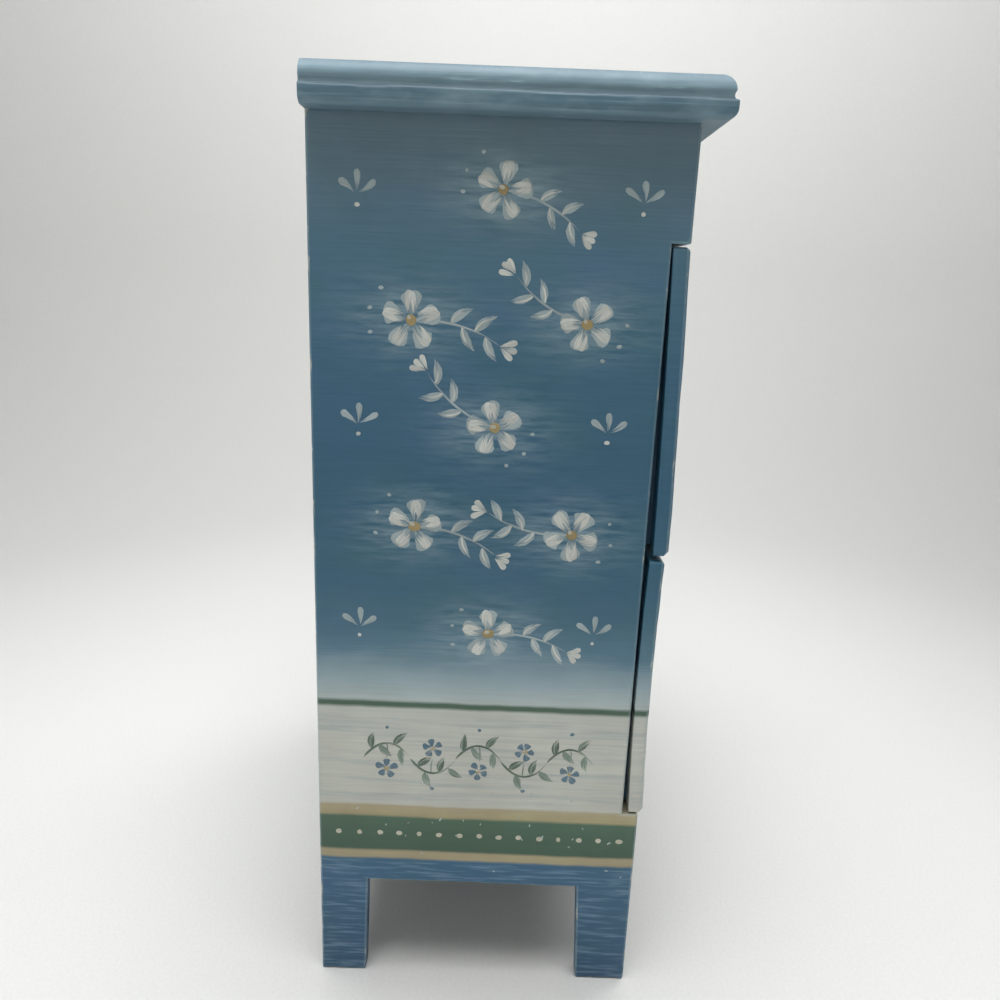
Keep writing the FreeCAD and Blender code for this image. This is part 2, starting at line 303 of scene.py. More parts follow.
class Palette:
    """Patterns that the finishes share, each worked out from real sizes in millimetres."""

    shift_way = (1.0, 0.7, 1.3)

    def __init__(self, name: str) -> None:
        """Starts a material with millimetre coordinates of the piece.

        Args:
            name: The material's name.
        """
        self.material = bpy.data.materials.new(name)
        self.material.use_nodes = True
        self.tree = self.material.node_tree
        self.tree.nodes.clear()
        place = add_node(self.tree, "TexCoord")
        self.place = add_node(
            self.tree, "VectorMath", {3: 1 / MM}, {0: place.outputs["Object"]}, operation="SCALE").outputs[0]
        split = add_node(self.tree, "SeparateXYZ", links={0: self.place})
        _, self.y, self.z = split.outputs

    def math(self, operation: str, first: Socket | float, second: Socket | float = 0.0,
             third: Socket | float = 0.0) -> Socket:
        """Adds a sum of two or three terms, each a socket or a number.

        Args:
            operation: The Math node's operation.
            first: First term.
            second: Second term.
            third: Third term.

        Returns:
            The result.
        """
        terms = dict(enumerate((first, second, third)))
        numbers = {key: term for key, term in terms.items() if isinstance(term, (int, float))}
        sockets = {key: term for key, term in terms.items() if key not in numbers}
        return add_node(self.tree, "Math", numbers, sockets, operation=operation).outputs[0]

    def noise(self, size: tuple[float, float, float], detail: float = 2.0, shift: float = 0.0,
              roughness: float = 0.5, source: Socket | None = None) -> Socket:
        """Gives noise whose grains have a size in millimetres.

        Args:
            size: Grain size along X, Y and Z.
            detail: Octaves of finer noise.
            shift: Moves the noise, so that two patterns differ.
            roughness: Strength of the finer octaves.
            source: Coordinates in millimetres, or those of the piece.

        Returns:
            Noise from 0 to 1.
        """
        fitted = {1: tuple(1 / side for side in size), 2: tuple(shift * way for way in self.shift_way)}
        scaled = add_node(
            self.tree, "VectorMath", fitted, {0: source or self.place}, operation="MULTIPLY_ADD").outputs[0]
        values = {"Scale": 1.0, "Detail": detail, "Roughness": roughness}
        return add_node(self.tree, "TexNoise", values, {"Vector": scaled}).outputs[0]

    def between(self, value: Socket, low: float, high: float, to_low: float = 0.0,
                to_high: float = 1.0) -> Socket:
        """Stretches a range of values over another one and holds it at the ends."""
        values = {1: low, 2: high, 3: to_low, 4: to_high}
        return add_node(self.tree, "MapRange", values, {0: value}, clamp=True).outputs[0]

    def mix(self, share: Socket, first: Socket | str, second: Socket | str) -> Socket:
        """Mixes two colours.

        Args:
            share: Share of the second colour.
            first: A colour socket or an sRGB hex colour.
            second: A colour socket or an sRGB hex colour.

        Returns:
            The mixed colour.
        """
        values, links = {}, {0: share}
        for key, term in ((6, first), (7, second)):
            if isinstance(term, str):
                values[key] = linear(term)
            else:
                links[key] = term
        return add_node(self.tree, "Mix", values, links, data_type="RGBA").outputs[2]

    def stops(self, value: Socket, colours: Sequence[tuple[float, str]]) -> Socket:
        """Runs a value through a row of colours.

        Args:
            value: The value, in the same unit as the stops.
            colours: Places and sRGB hex colours in rising order.

        Returns:
            The colour at the value.
        """
        first, last = colours[0][0], colours[-1][0]
        share = self.between(value, first, last)
        ramp = add_node(self.tree, "ValToRGB", links={0: share})
        row = ramp.color_ramp.elements
        for place, colour in colours[1:-1]:
            row.new((place - first) / (last - first)).color = linear(colour)
        row[0].color = linear(colours[0][1])
        row[len(row) - 1].color = linear(colours[-1][1])
        return ramp.outputs[0]

    def value(self, name: str, output: str = "Fac") -> Socket:
        """Reads a named value of the mesh."""
        return add_node(self.tree, "Attribute", attribute_name=name).outputs[output]

    def upward(self) -> Socket:
        """Gives the upward part of the piece's own surface direction."""
        facing = add_node(self.tree, "TexCoord").outputs["Normal"]
        return add_node(self.tree, "SeparateXYZ", links={0: facing}).outputs[2]

    def relief(self, height: Socket, reach: float, strength: float = 1.0,
               under: Socket | None = None) -> Socket:
        """Turns a height into surface relief.

        Args:
            height: Height from 0 to 1.
            reach: Real height of that range in millimetres.
            strength: Share of the relief that is used.
            under: Relief that this one lies on.

        Returns:
            The surface direction.
        """
        links = {"Height": height}
        if under is not None:
            links["Normal"] = under
        values = {"Strength": strength, "Distance": reach * MM}
        return add_node(self.tree, "Bump", values, links).outputs[0]

    def finish(self, colour: Socket, rough: Socket | float, normal: Socket | None = None,
               metallic: float = 0.0) -> bpy.types.Material:
        """Closes the material with one surface shader.

        Args:
            colour: Base colour.
            rough: Roughness.
            normal: Relief.
            metallic: 1 for bare metal.

        Returns:
            The finished material.
        """
        numbers = {"Metallic": metallic}
        links = {"Base Color": colour}
        if isinstance(rough, float):
            numbers["Roughness"] = rough
        else:
            links["Roughness"] = rough
        if normal is not None:
            links["Normal"] = normal
        shader = add_node(self.tree, "BsdfPrincipled", numbers, links)
        add_node(self.tree, "OutputMaterial", links={"Surface": shader.outputs[0]})
        return self.material


@dataclass(frozen=True)
class PlanedPine:
    """Softwood, planed and left bare: pale straw with darker latewood lines and fine fibres."""

    earlywood: str = "#c9ab7c"
    latewood: str = "#a67f4e"
    ring_spacing: float = 3.6
    fibre: tuple[float, float] = (0.35, 16.0)
    pith_distance: float = 46.0
    wave_turn: float = WHOLE / 20
    sun_bleached: str = "#d8c094"
    # Dark blue where paint ran past an edge, partly painted shade for the drawer gaps and the chest's
    # underside.
    strayed_paint_and_shade: str = "#2b5069"

    def colour(self, palette: Palette, grain: Grain) -> tuple[Socket, Socket]:
        """Builds the wood's colour and its fibre pattern.

        Args:
            palette: The material that gets them.
            grain: The way the fibres run.

        Returns:
            Colour, and fibres from 0 to 1.
        """
        along = Vector(grain.value)
        thin, long = self.fibre
        squash = [0.12 if part else 1.0 for part in along]
        pith = [0.0 if part else self.pith_distance for part in along]
        rings_at = add_node(
            palette.tree, "VectorMath", {1: squash, 2: pith}, {0: palette.place}, operation="MULTIPLY_ADD")
        rings = add_node(
            palette.tree, "TexWave",
            {"Scale": self.wave_turn / self.ring_spacing, "Distortion": 1.4, "Detail": 2.0,
             "Detail Scale": 0.45, "Detail Roughness": 0.5},
            {"Vector": rings_at.outputs[0]}, wave_type="RINGS",
            rings_direction="XYZ"[list(grain.value).index(1)], wave_profile="SAW").outputs[1]
        fibres = palette.noise([long if part else thin for part in along], 3.0)
        late = palette.between(rings, 0.25, 1.0)
        late = palette.math("POWER", late, 2.2)
        colour = palette.mix(palette.math("MULTIPLY", late, 0.62), self.earlywood, self.latewood)
        colour = palette.mix(palette.between(fibres, 0.3, 0.75, 0.0, 0.35), colour, self.latewood)
        tone = palette.between(palette.noise((40, 40, 40), 1.0, 5.0), 0.3, 0.7, 0.0, 0.28)
        return palette.mix(tone, colour, self.sun_bleached), fibres

    @cache
    def material(self, grain: Grain, lap_front: float = NOWHERE,
                 lap_low: float = NOWHERE) -> bpy.types.Material:
        """Builds the bare wood, with a dark blue coat where the painter's brush ran past an edge; the coat is
        partly painted shade, kept dark for the drawer gaps and the underside of the chest.

        Args:
            grain: The way the fibres run.
            lap_front: The wood is painted in front of this Y, in millimetres.
            lap_low: The wood is painted below this height.

        Returns:
            The material.
        """
        palette = Palette("planed_pine_" + grain.name.lower())
        colour, fibres = self.colour(palette, grain)
        # The dark blue coat in front of lap_front and below lap_low: stray paint, partly painted shade.
        ragged = palette.math("MULTIPLY_ADD", palette.noise((5, 5, 5), 3.0, 12.0), 3.0, -1.5)
        front = palette.math("SUBTRACT", palette.y, palette.math("ADD", ragged, lap_front))
        low = palette.math("SUBTRACT", palette.z, palette.math("MULTIPLY_ADD", ragged, 0.1, lap_low))
        painted = palette.between(palette.math("MINIMUM", front, low), -0.2, 0.2, 1.0, 0.0)
        colour = palette.mix(painted, colour, self.strayed_paint_and_shade)
        rough = palette.between(fibres, 0.2, 0.8, 0.52, 0.68)
        return palette.finish(colour, rough, palette.relief(fibres, 0.06))


@dataclass(frozen=True)
class BirchPlywood:
    """Rotary-cut birch ply: pale faces with long wandering figure and thin dark layer lines on the edges."""

    face: str = "#cdb48a"
    figure: str = "#b0915f"
    glue_line: str = "#6f5233"
    layer: float = 1.0
    figure_size: tuple[float, float, float] = (70.0, 9.0, 9.0)

    def material(self) -> bpy.types.Material:
        """Builds the plywood of the drawer bottoms.

        Returns:
            The material.
        """
        palette = Palette("birch_plywood")
        figure = palette.noise(self.figure_size, 3.0)
        lines = palette.math("PINGPONG", palette.math("MULTIPLY", figure, 9.0), 0.5)
        colour = palette.mix(palette.between(lines, 0.0, 0.22, 0.5, 0.0), self.face, self.figure)
        fibres = palette.noise((14.0, 0.4, 0.4), 2.0)
        colour = palette.mix(palette.between(fibres, 0.35, 0.7, 0.0, 0.3), colour, self.figure)
        layers = palette.math("PINGPONG", palette.z, self.layer / 2)
        upright = palette.math("ABSOLUTE", palette.upward())
        edge = palette.math("MULTIPLY", palette.between(layers, 0.0, 0.14, 0.7, 0.0),
                            palette.between(upright, 0.2, 0.6, 1.0, 0.0))
        colour = palette.mix(edge, colour, self.glue_line)
        return palette.finish(colour, 0.58, palette.relief(fibres, 0.04))


@dataclass(frozen=True)
class BeechDowel:
    """Turned beech rod: pinkish tan with short dark flecks."""

    wood: str = "#c39b6c"
    fleck: str = "#94683f"

    def material(self) -> bpy.types.Material:
        """Builds the dowel wood.

        Returns:
            The material.
        """
        palette = Palette("beech_dowel")
        flecks = palette.noise((0.4, 0.4, 2.5), 1.0)
        colour = palette.mix(palette.between(flecks, 0.55, 0.75, 0.0, 0.7), self.wood, self.fleck)
        return palette.finish(colour, 0.55, palette.relief(flecks, 0.03))


@dataclass(frozen=True)
class ZincSteel:
    """Zinc-plated steel wire and screws: a grey metal with faint cloudy spangle."""

    metal: str = "#b4b8b8"
    dull: str = "#8f9492"

    def material(self) -> bpy.types.Material:
        """Builds the plated steel.

        Returns:
            The material.
        """
        palette = Palette("zinc_plated_steel")
        cloud = palette.noise((1.2, 1.2, 1.2), 3.0)
        colour = palette.mix(palette.between(cloud, 0.35, 0.7), self.metal, self.dull)
        return palette.finish(colour, palette.between(cloud, 0.3, 0.7, 0.28, 0.48), metallic=1.0)


@dataclass(frozen=True)
class BrushedAcrylic:
    """Satin acrylic craft paint on wood: level colour bands, visible bristle lines and rubbed arrises."""

    # Colour bands up the boards; the stops near the top are partly painted light, made lighter to offset the
    # shade under the top's overhang.
    bands: tuple[tuple[float, str], ...] = (
        (0.0, "#254d6a"), (30.0, "#2b5674"), (56.6, "#315e7c"),
        (57.0, "#a3997a"), (60.2, "#a3997a"),
        (60.6, "#3a5746"), (70.0, "#405d4b"), (76.6, "#486653"),
        (77.0, "#a09674"), (81.6, "#a89e80"),
        (82.0, "#bcbeb6"), (112.0, "#c4c6bd"), (125.8, "#bbc0b9"),
        (126.2, "#45614f"), (128.8, "#45614f"),
        (129.2, "#b0bcbc"), (138.0, "#93a8b0"), (152.0, "#51778a"),
        (166.0, "#3c667b"), (180.0, "#316079"), (212.0, "#2c5c77"),
        (262.0, "#37647d"), (298.0, "#4a7086"), (322.0, "#587584"), (342.0, "#627884"))
    ombre_from: float = 132.0
    ombre_full: float = 160.0
    ombre_blend: float = 17.0
    waver: float = 1.1
    waver_length: float = 18.0
    streak: tuple[float, float] = (0.62, 34.0)
    dash: tuple[float, float] = (1.0, 15.0)
    dash_top: float = 55.0
    highlight: str = "#7896ac"
    wash: str = "#8799a3"
    wash_zone: tuple[float, float] = (83.0, 125.0)
    haze: str = "#9cb3bb"
    undercoat: str = "#b9bab1"
    rubbed_width: float = 0.55
    thin_on_edges: float = 0.32

    def streaks(self, palette: Palette, width: float, length: float, shift: float = 0.0,
                detail: float = 3.0) -> Socket:
        """Bristle lines that run level round the chest.

        Args:
            palette: The material that gets them.
            width: Width of a bristle line in millimetres.
            length: Its length in millimetres.
            shift: Moves the pattern.
            detail: Octaves of finer lines.

        Returns:
            Lines from 0 to 1.
        """
        return palette.noise((length, length, width), detail, shift)

    def ground(self, palette: Palette, lines: Socket) -> Socket:
        """Colours the ground coat by height.

        Args:
            palette: The material that gets it.
            lines: Its bristle lines.

        Returns:
            The colour.
        """
        drift = palette.noise((self.waver_length,) * 3, 2.0, 3.0)
        wave = palette.math("MULTIPLY_ADD", drift, self.waver, -self.waver / 2)
        height = palette.math("ADD", palette.z, wave)
        blended = palette.between(palette.z, self.ombre_from, self.ombre_full, 0.0, self.ombre_blend)
        blotches = palette.noise((30, 30, 9), 2.0, 9.0)
        swing = palette.math("SUBTRACT", palette.math("ADD", lines, blotches), 1.0)
        height = palette.math("MULTIPLY_ADD", swing, blended, height)
        low, high = self.wash_zone
        zone = palette.math("MULTIPLY", palette.between(height, low, low + 3.0),
                            palette.between(height, high - 3.0, high, 1.0, 0.0))
        drawn = palette.between(palette.noise((44, 44, 1.7), 4.0, 63.0, 0.62), 0.46, 0.72, 0.0, 0.5)
        share = palette.math("MULTIPLY", zone, drawn)
        return palette.mix(share, palette.stops(height, self.bands), self.wash)

    def coat(self, palette: Palette) -> tuple[Socket, Socket, Socket]:
        """Builds the painted surface with its dashes, mottling and bristle lines.

        Args:
            palette: The material that gets it.

        Returns:
            Colour, bristle lines and mottling.
        """
        lines = self.streaks(palette, *self.streak)
        colour = self.ground(palette, lines)
        dashes = self.streaks(palette, *self.dash, shift=17.0, detail=2.0)
        low = palette.between(palette.z, self.dash_top, self.dash_top + 1.5, 1.0, 0.0)
        share = palette.math("MULTIPLY", palette.between(dashes, 0.5, 0.68, 0.0, 0.45), low)
        colour = palette.mix(share, colour, self.highlight)
        mottle = palette.noise((24, 24, 20), 3.0, 31.0)
        light = palette.math("MULTIPLY_ADD", lines, 0.26, 0.87)
        light = palette.math("MULTIPLY", light, palette.between(mottle, 0.25, 0.75, 0.92, 1.08))
        hue = palette.between(mottle, 0.3, 0.7, 0.492, 0.508)
        tone = add_node(palette.tree, "HueSaturation", {"Saturation": 1.0},
                        {"Color": colour, "Value": light, "Hue": hue})
        return tone.outputs[0], lines, mottle

    def rubbed(self, palette: Palette, colour: Socket) -> Socket:
        """Wears the paint thin along the arrises.

        Args:
            palette: The material.
            colour: The painted colour.

        Returns:
            The colour with its worn edges.
        """
        edge = palette.value("edge")
        patches = palette.noise((7, 7, 7), 3.0, 51.0, 0.6)
        reach = palette.between(patches, 0.5, 0.72, -0.2, self.rubbed_width)
        share = palette.between(palette.math("SUBTRACT", edge, reach), -0.18, 0.12, 0.75, 0.0)
        thin = palette.between(edge, 0.1, 0.7, self.thin_on_edges, 0.0)
        return palette.mix(share, palette.mix(thin, colour, self.haze), self.undercoat)

    def material(self) -> bpy.types.Material:
        """Builds the paint of the boards, bare pine where it was never painted.

        Returns:
            The material.
        """
        palette = Palette("brushed_acrylic")
        colour, lines, mottle = self.coat(palette)
        scumble = palette.math("MULTIPLY", palette.value("haze"), palette.between(
            palette.noise((16, 16, 2.2), 4.0, 77.0, 0.62), 0.36, 0.7, 0.0, 0.75))
        colour = palette.mix(scumble, colour, self.haze)
        colour = self.rubbed(palette, colour)
        wood, fibres = PlanedPine().colour(palette, Grain.ALONG_Z)
        ragged = palette.math("MULTIPLY_ADD", palette.noise((6, 6, 6), 3.0), 0.5, palette.value("bare"))
        bare = palette.between(ragged, 0.7, 0.78)
        colour = palette.mix(bare, colour, wood)
        rough = palette.math("MULTIPLY_ADD", lines, 0.16, 0.36)
        rough = palette.math("MULTIPLY_ADD", bare, 0.18, rough)
        normal = palette.relief(mottle, 0.3, 0.5)
        normal = palette.relief(palette.math("MULTIPLY_ADD", fibres, 0.25, lines), 0.075, 1.0, normal)
        return palette.finish(colour, rough, normal)


@dataclass(frozen=True)
class DecoratingPaint(BrushedAcrylic):
    """Thicker acrylic laid on in single brush strokes: ridged bristle tracks that thin out at the end."""

    track: tuple[float, float] = (0.34, 7.0)

    def material(self) -> bpy.types.Material:
        """Builds the paint of the strokes.

        Returns:
            The material.
        """
        palette = Palette("decorating_acrylic")
        ground, _, _ = self.coat(palette)
        place = (palette.value(name) for name in ("across", "along", "seed"))
        split = add_node(palette.tree, "CombineXYZ", links=dict(enumerate(place)))
        wide, long = self.track
        tracks = palette.noise((wide, long, 1.0), 2.0, source=split.outputs[0])
        dryness = palette.math("ADD", palette.value("dry"), palette.between(tracks, 0.3, 0.7, -0.34, 0.34))
        share = palette.between(dryness, 0.62, 1.12, 1.0, 0.12)
        pigment = palette.value("pigment", "Color")
        shade = palette.mix(palette.between(tracks, 0.35, 0.7, 0.0, 0.3), pigment, ground)
        colour = palette.mix(share, ground, shade)
        return palette.finish(colour, 0.4, palette.relief(tracks, 0.07))


@dataclass(frozen=True)
class TopPaint(BrushedAcrylic):
    """The lighter blue acrylic of the top: streaks along its length, with painted light on it: a painted
    highlight on the lip's face, painted shade on the faces that look up, a lighter grey-blue on the faces
    that look down for light bounced onto them, and painted shade on the ledge, partly pooled paint.
    """

    body: str = "#5d7e8f"
    dark: str = "#496472"
    light: str = "#93adb8"
    # Grey-blue of the faces that look down: painted light, lighter than the body as if lit from below.
    under: str = "#67808c"
    # Dark of the ledge: painted shade in that recess, partly paint that pooled there.
    pooled_paint_and_shade: str = "#3b5462"
    lip_from: float = 347.4
    thin_on_edges: float = 0.05
    rubbed_width: float = 0.3

    def material(self) -> bpy.types.Material:
        """Builds the top's paint.

        Returns:
            The material.
        """
        palette = Palette("top_acrylic")
        flat = palette.between(palette.upward(), 0.55, 0.85)
        rim = self.streaks(palette, 0.75, 46.0, 5.0)
        face = palette.noise((60, 0.8, 60), 3.0, 8.0)
        lines = palette.math("MULTIPLY_ADD", flat, palette.math("SUBTRACT", face, rim), rim)
        mottle = palette.noise((26, 14, 5), 3.0, 2.0)
        colour = palette.mix(palette.between(lines, 0.36, 0.62, 0.65, 0.0), self.body, self.dark)
        colour = palette.mix(palette.between(mottle, 0.45, 0.75, 0.0, 0.5), colour, self.light)
        colour = palette.mix(palette.between(lines, 0.6, 0.72, 0.0, 0.55), colour, self.light)
        # Painted highlight: the lip's faces that don't look up are mixed towards the light blue.
        lip = palette.between(palette.z, self.lip_from, self.lip_from + 0.8)
        lip_highlight = palette.math("MULTIPLY", lip, palette.between(palette.upward(), 0.45, 0.9, 0.42, 0.0))
        colour = palette.mix(lip_highlight, colour, self.light)
        # Painted shade: the faces that look up are mixed towards the dark blue.
        colour = palette.mix(palette.between(flat, 0.0, 1.0, 0.0, 0.55), colour, self.dark)
        # Painted light: the faces that look down take the lighter grey-blue.
        under = palette.between(palette.upward(), -0.9, -0.5, 0.8, 0.0)
        colour = palette.mix(under, colour, self.under)
        # Painted shade on the ledge below the roundover, partly pooled paint.
        ledge = palette.math("MULTIPLY", palette.between(palette.upward(), 0.2, 0.7, 0.0, 0.72),
                             palette.between(palette.z, self.lip_from + 1.0, self.lip_from + 1.5, 1.0, 0.0))
        colour = palette.mix(ledge, self.rubbed(palette, colour), self.pooled_paint_and_shade)
        normal = palette.relief(mottle, 0.25, 0.5)
        normal = palette.relief(lines, 0.09, 1.0, normal)
        return palette.finish(colour, palette.math("MULTIPLY_ADD", lines, 0.14, 0.5), normal)


@dataclass(frozen=True)
class KnobPaint(BrushedAcrylic):
    """Acrylic on a turned knob: brush lines round its axis and a rubbed rim."""

    body: str = "#4f7d93"
    dark: str = "#38607a"
    light: str = "#94a9b3"

    def material(self) -> bpy.types.Material:
        """Builds the knobs' paint.

        Returns:
            The material.
        """
        palette = Palette("knob_acrylic")
        lines = palette.noise((14, 0.5, 14), 3.0)
        mottle = palette.noise((5, 5, 5), 3.0, 4.0)
        colour = palette.mix(palette.between(lines, 0.35, 0.68, 0.7, 0.0), self.body, self.dark)
        colour = palette.mix(palette.between(mottle, 0.5, 0.72, 0.0, 0.4), colour, self.light)
        colour = self.rubbed(palette, colour)
        normal = palette.relief(lines, 0.07, 1.0, palette.relief(mottle, 0.15, 0.5))
        return palette.finish(colour, 0.4, normal)


@dataclass(frozen=True)
class WashedPly:
    """Plywood back with one thin coat of blue acrylic: the figure of the wood shows through the streaks."""

    wash: str = "#54707f"
    thin: str = "#8c9384"
    patch: str = "#6f8791"

    def material(self) -> bpy.types.Material:
        """Builds the washed back.

        Returns:
            The material.
        """
        palette = Palette("washed_plywood")
        strokes = palette.noise((0.9, 5.0, 55.0), 3.0)
        figure = palette.noise((8.0, 8.0, 80.0), 3.0, 6.0)
        rings = palette.math("PINGPONG", palette.math("MULTIPLY", figure, 8.0), 0.5)
        cover = palette.math("MULTIPLY_ADD", palette.between(rings, 0.0, 0.25, 0.5, 0.0), 0.5,
                             palette.between(strokes, 0.42, 0.7, 0.0, 0.55))
        colour = palette.mix(cover, self.wash, self.thin)
        patch = palette.noise((30, 30, 45), 3.0, 14.0)
        colour = palette.mix(palette.between(patch, 0.4, 0.7, 0.0, 0.35), colour, self.patch)
        normal = palette.relief(strokes, 0.08, 1.0, palette.relief(rings, 0.06, 0.6))
        return palette.finish(colour, 0.52, normal)


@dataclass
class BoardGrid:
    """A board meshed as a grid on both faces, with rounded arrises all round its outline."""

    rectangles: Sequence[Rectangle]
    thickness_at: Callable[[Array, Array], Array]
    arris: float
    inner_arris: float
    pitch: float
    wear: Callable[[Array, Array], Array]
    extra_s: Sequence[float] = ()
    extra_t: Sequence[float] = ()
    arris_steps: int = 5
    wall_steps: int = 4
    corner_steps: int = 4
    inner_steps: int = 3
    rub_depth: float = 0.7
    far_from_edge: float = 9.0

    def inside(self, s: Array, t: Array) -> Array:
        """Tells which points lie in the outline.

        Args:
            s: First coordinates.
            t: Second coordinates.

        Returns:
            True for each point inside.
        """
        found = np.zeros(np.broadcast(s, t).shape, bool)
        for s_from, s_to, t_from, t_to in self.rectangles:
            found |= (s > s_from) & (s < s_to) & (t > t_from) & (t < t_to)
        return found

    def cells(self) -> tuple[Array, Array, Array]:
        """Lays the grid and finds the cells of the face inside the arris.

        Returns:
            Grid lines both ways, and which cells are kept.
        """
        marks_s = [s + way * self.arris for rect in self.rectangles for s in rect[:2] for way in (-1, 1)]
        marks_t = [t + way * self.arris for rect in self.rectangles for t in rect[2:] for way in (-1, 1)]
        lines_s = grid_lines(marks_s + list(self.extra_s), self.pitch)
        lines_t = grid_lines(marks_t + list(self.extra_t), self.pitch)
        middle_s = (lines_s[:-1] + lines_s[1:])[:, None] / 2
        middle_t = (lines_t[:-1] + lines_t[1:])[None, :] / 2
        kept = np.ones((len(lines_s) - 1, len(lines_t) - 1), bool)
        for ds in (-self.arris, 0, self.arris):
            for dt in (-self.arris, 0, self.arris):
                kept &= self.inside(middle_s + ds, middle_t + dt)
        return lines_s, lines_t, kept

    @staticmethod
    def rim(kept: Array) -> list[tuple[int, int]]:
        """Walks round the kept cells, with them on the left.

        Args:
            kept: Which cells are kept.

        Returns:
            Grid corners in order.
        """
        padded = np.pad(kept, 1)
        following = {}
        sides = (((0, -1), (0, 0), (1, 0)), ((1, 0), (1, 0), (1, 1)),
                 ((0, 1), (1, 1), (0, 1)), ((-1, 0), (0, 1), (0, 0)))
        for i, j in zip(*np.nonzero(kept)):
            for (di, dj), start, end in sides:
                if not padded[i + 1 + di, j + 1 + dj]:
                    following[(i + start[0], j + start[1])] = (i + end[0], j + end[1])
        corner = next(iter(following))
        loop = []
        while corner not in loop[:1]:
            loop.append(corner)
            corner = following[corner]
        return loop

    def stations(self, loop: list[tuple[int, int]]) -> tuple[list[tuple[int, int]], Array]:
        """Gives each corner of the rim its outward direction, with a fan at outer corners.

        Args:
            loop: Grid corners in order.

        Returns:
            The corner of each station, and its direction.
        """
        corners, outward = [], []
        for place, (i, j) in enumerate(loop):
            before, after = loop[place - 1], loop[(place + 1) % len(loop)]
            into = np.sign((i - before[0], j - before[1]))
            out = np.sign((after[0] - i, after[1] - j))
            first, second = np.array((into[1], -into[0]), float), np.array((out[1], -out[0]), float)
            turn = into[0] * out[1] - into[1] * out[0]
            if turn > 0:
                for angle in np.linspace(0, QUARTER, self.corner_steps + 1):
                    corners.append((i, j))
                    outward.append(first * math.cos(angle) + second * math.sin(angle))
            else:
                corners.append((i, j))
                outward.append(first if turn == 0 else first + second)
        return corners, np.array(outward)

    def section(self) -> list[tuple[float, float, float, float]]:
        """Lists the rings between the two faces.

        Returns:
            For each ring its offset, its depth, the share of the thickness in that depth, and its wear.
        """
        rings = []
        for angle in np.linspace(0, QUARTER, self.arris_steps + 1)[1:]:
            offset, depth = self.arris * math.sin(angle), self.arris * (1 - math.cos(angle))
            rings.append((offset, depth, 0.0, math.sin(2 * angle)))
        for share in np.linspace(0, 1, self.wall_steps + 1)[1:]:
            depth = self.arris * (1 - share) - self.inner_arris * share
            rings.append((self.arris, depth, share, 0.0))
        for angle in np.linspace(0, QUARTER, self.inner_steps + 1)[1:]:
            offset = self.arris - self.inner_arris * (1 - math.cos(angle))
            rings.append((offset, self.inner_arris * (math.sin(angle) - 1), 1.0, 0.0))
        return rings

    def build(self) -> tuple[Array, Array, Array, Array, list]:
        """Meshes the board.

        Returns:
            Both coordinates, depth below the shown face and distance from its arris for each vertex, and
            the faces.
        """
        lines_s, lines_t, kept = self.cells()
        used = np.zeros((len(lines_s), len(lines_t)), bool)
        for di in (0, 1):
            for dj in (0, 1):
                used[di:di + kept.shape[0], dj:dj + kept.shape[1]] |= kept
        index = np.full(used.shape, -1)
        index[used] = np.arange(used.sum())
        grid_i, grid_j = np.nonzero(used)
        face_s, face_t = lines_s[grid_i], lines_t[grid_j]
        corners, outward = self.stations(self.rim(kept))
        rim_index = np.array([index[corner] for corner in corners])
        rim_s, rim_t = face_s[rim_index], face_t[rim_index]
        count, around = len(face_s), len(rim_s)

        distance = np.full(count, np.inf)
        for s, t in zip(rim_s, rim_t):
            np.minimum(distance, np.hypot(face_s - s, face_t - t), out=distance)
        worn = self.wear(rim_s, rim_t)
        s_parts, t_parts = [face_s], [face_t]
        depth_parts, edge_parts = [np.zeros(count)], [distance + self.arris / 2]
        rings = self.section()
        for offset, depth, share, rub in rings:
            rubbed = worn * rub * self.rub_depth
            out = offset - rubbed
            s_parts.append(rim_s + outward[:, 0] * out)
            t_parts.append(rim_t + outward[:, 1] * out)
            deep = self.thickness_at(rim_s, rim_t) * share + depth + rubbed
            depth_parts.append(deep)
            edge_parts.append(np.maximum(deep - self.arris, 0) + abs(self.arris / 2 - deep) * (share == 0))
        s_parts.append(face_s)
        t_parts.append(face_t)
        depth_parts.append(self.thickness_at(face_s, face_t))
        edge_parts.append(np.full(count, self.arris * self.far_from_edge))

        cell_i, cell_j = np.nonzero(kept)
        square = [index[cell_i + di, cell_j + dj] for di, dj in ((0, 0), (1, 0), (1, 1), (0, 1))]
        faces = np.stack(square, 1).tolist()
        inner = count + around * len(rings)
        faces += (np.stack(square[::-1], 1) + inner).tolist()
        bands = [rim_index] + [count + around * ring + np.arange(around) for ring in range(len(rings))]
        bands.append(rim_index + inner)
        for near, far in zip(bands, bands[1:]):
            band = np.stack((np.roll(near, -1), near, far, np.roll(far, -1)), 1)
            faces += [list(dict.fromkeys(corners)) for corners in band.tolist()]
        faces = [face for face in faces if len(face) > 2]
        joined = [np.concatenate(part) for part in (s_parts, t_parts, depth_parts, edge_parts)]
        return *joined, faces


class Daub(NamedTuple):
    """Size of one stroke, in millimetres or as shares of its motif, and how far it sweeps to the left."""

    length: float
    width: float
    sweep: float = 0.0

    def times(self, size: float, side: float = 1.0) -> "Daub":
        """Gives the daub for a motif of some size, swept to one side."""
        return Daub(size * self.length, size * self.width, side * self.sweep)


@dataclass(frozen=True)
class Stroke:
    """One touch of the brush along a bent line, in millimetres of the board's plane."""

    start: Point
    bend: Point
    end: Point
    width: float
    touch: Touch
    pigment: Pigment
    layer: float = 0.0


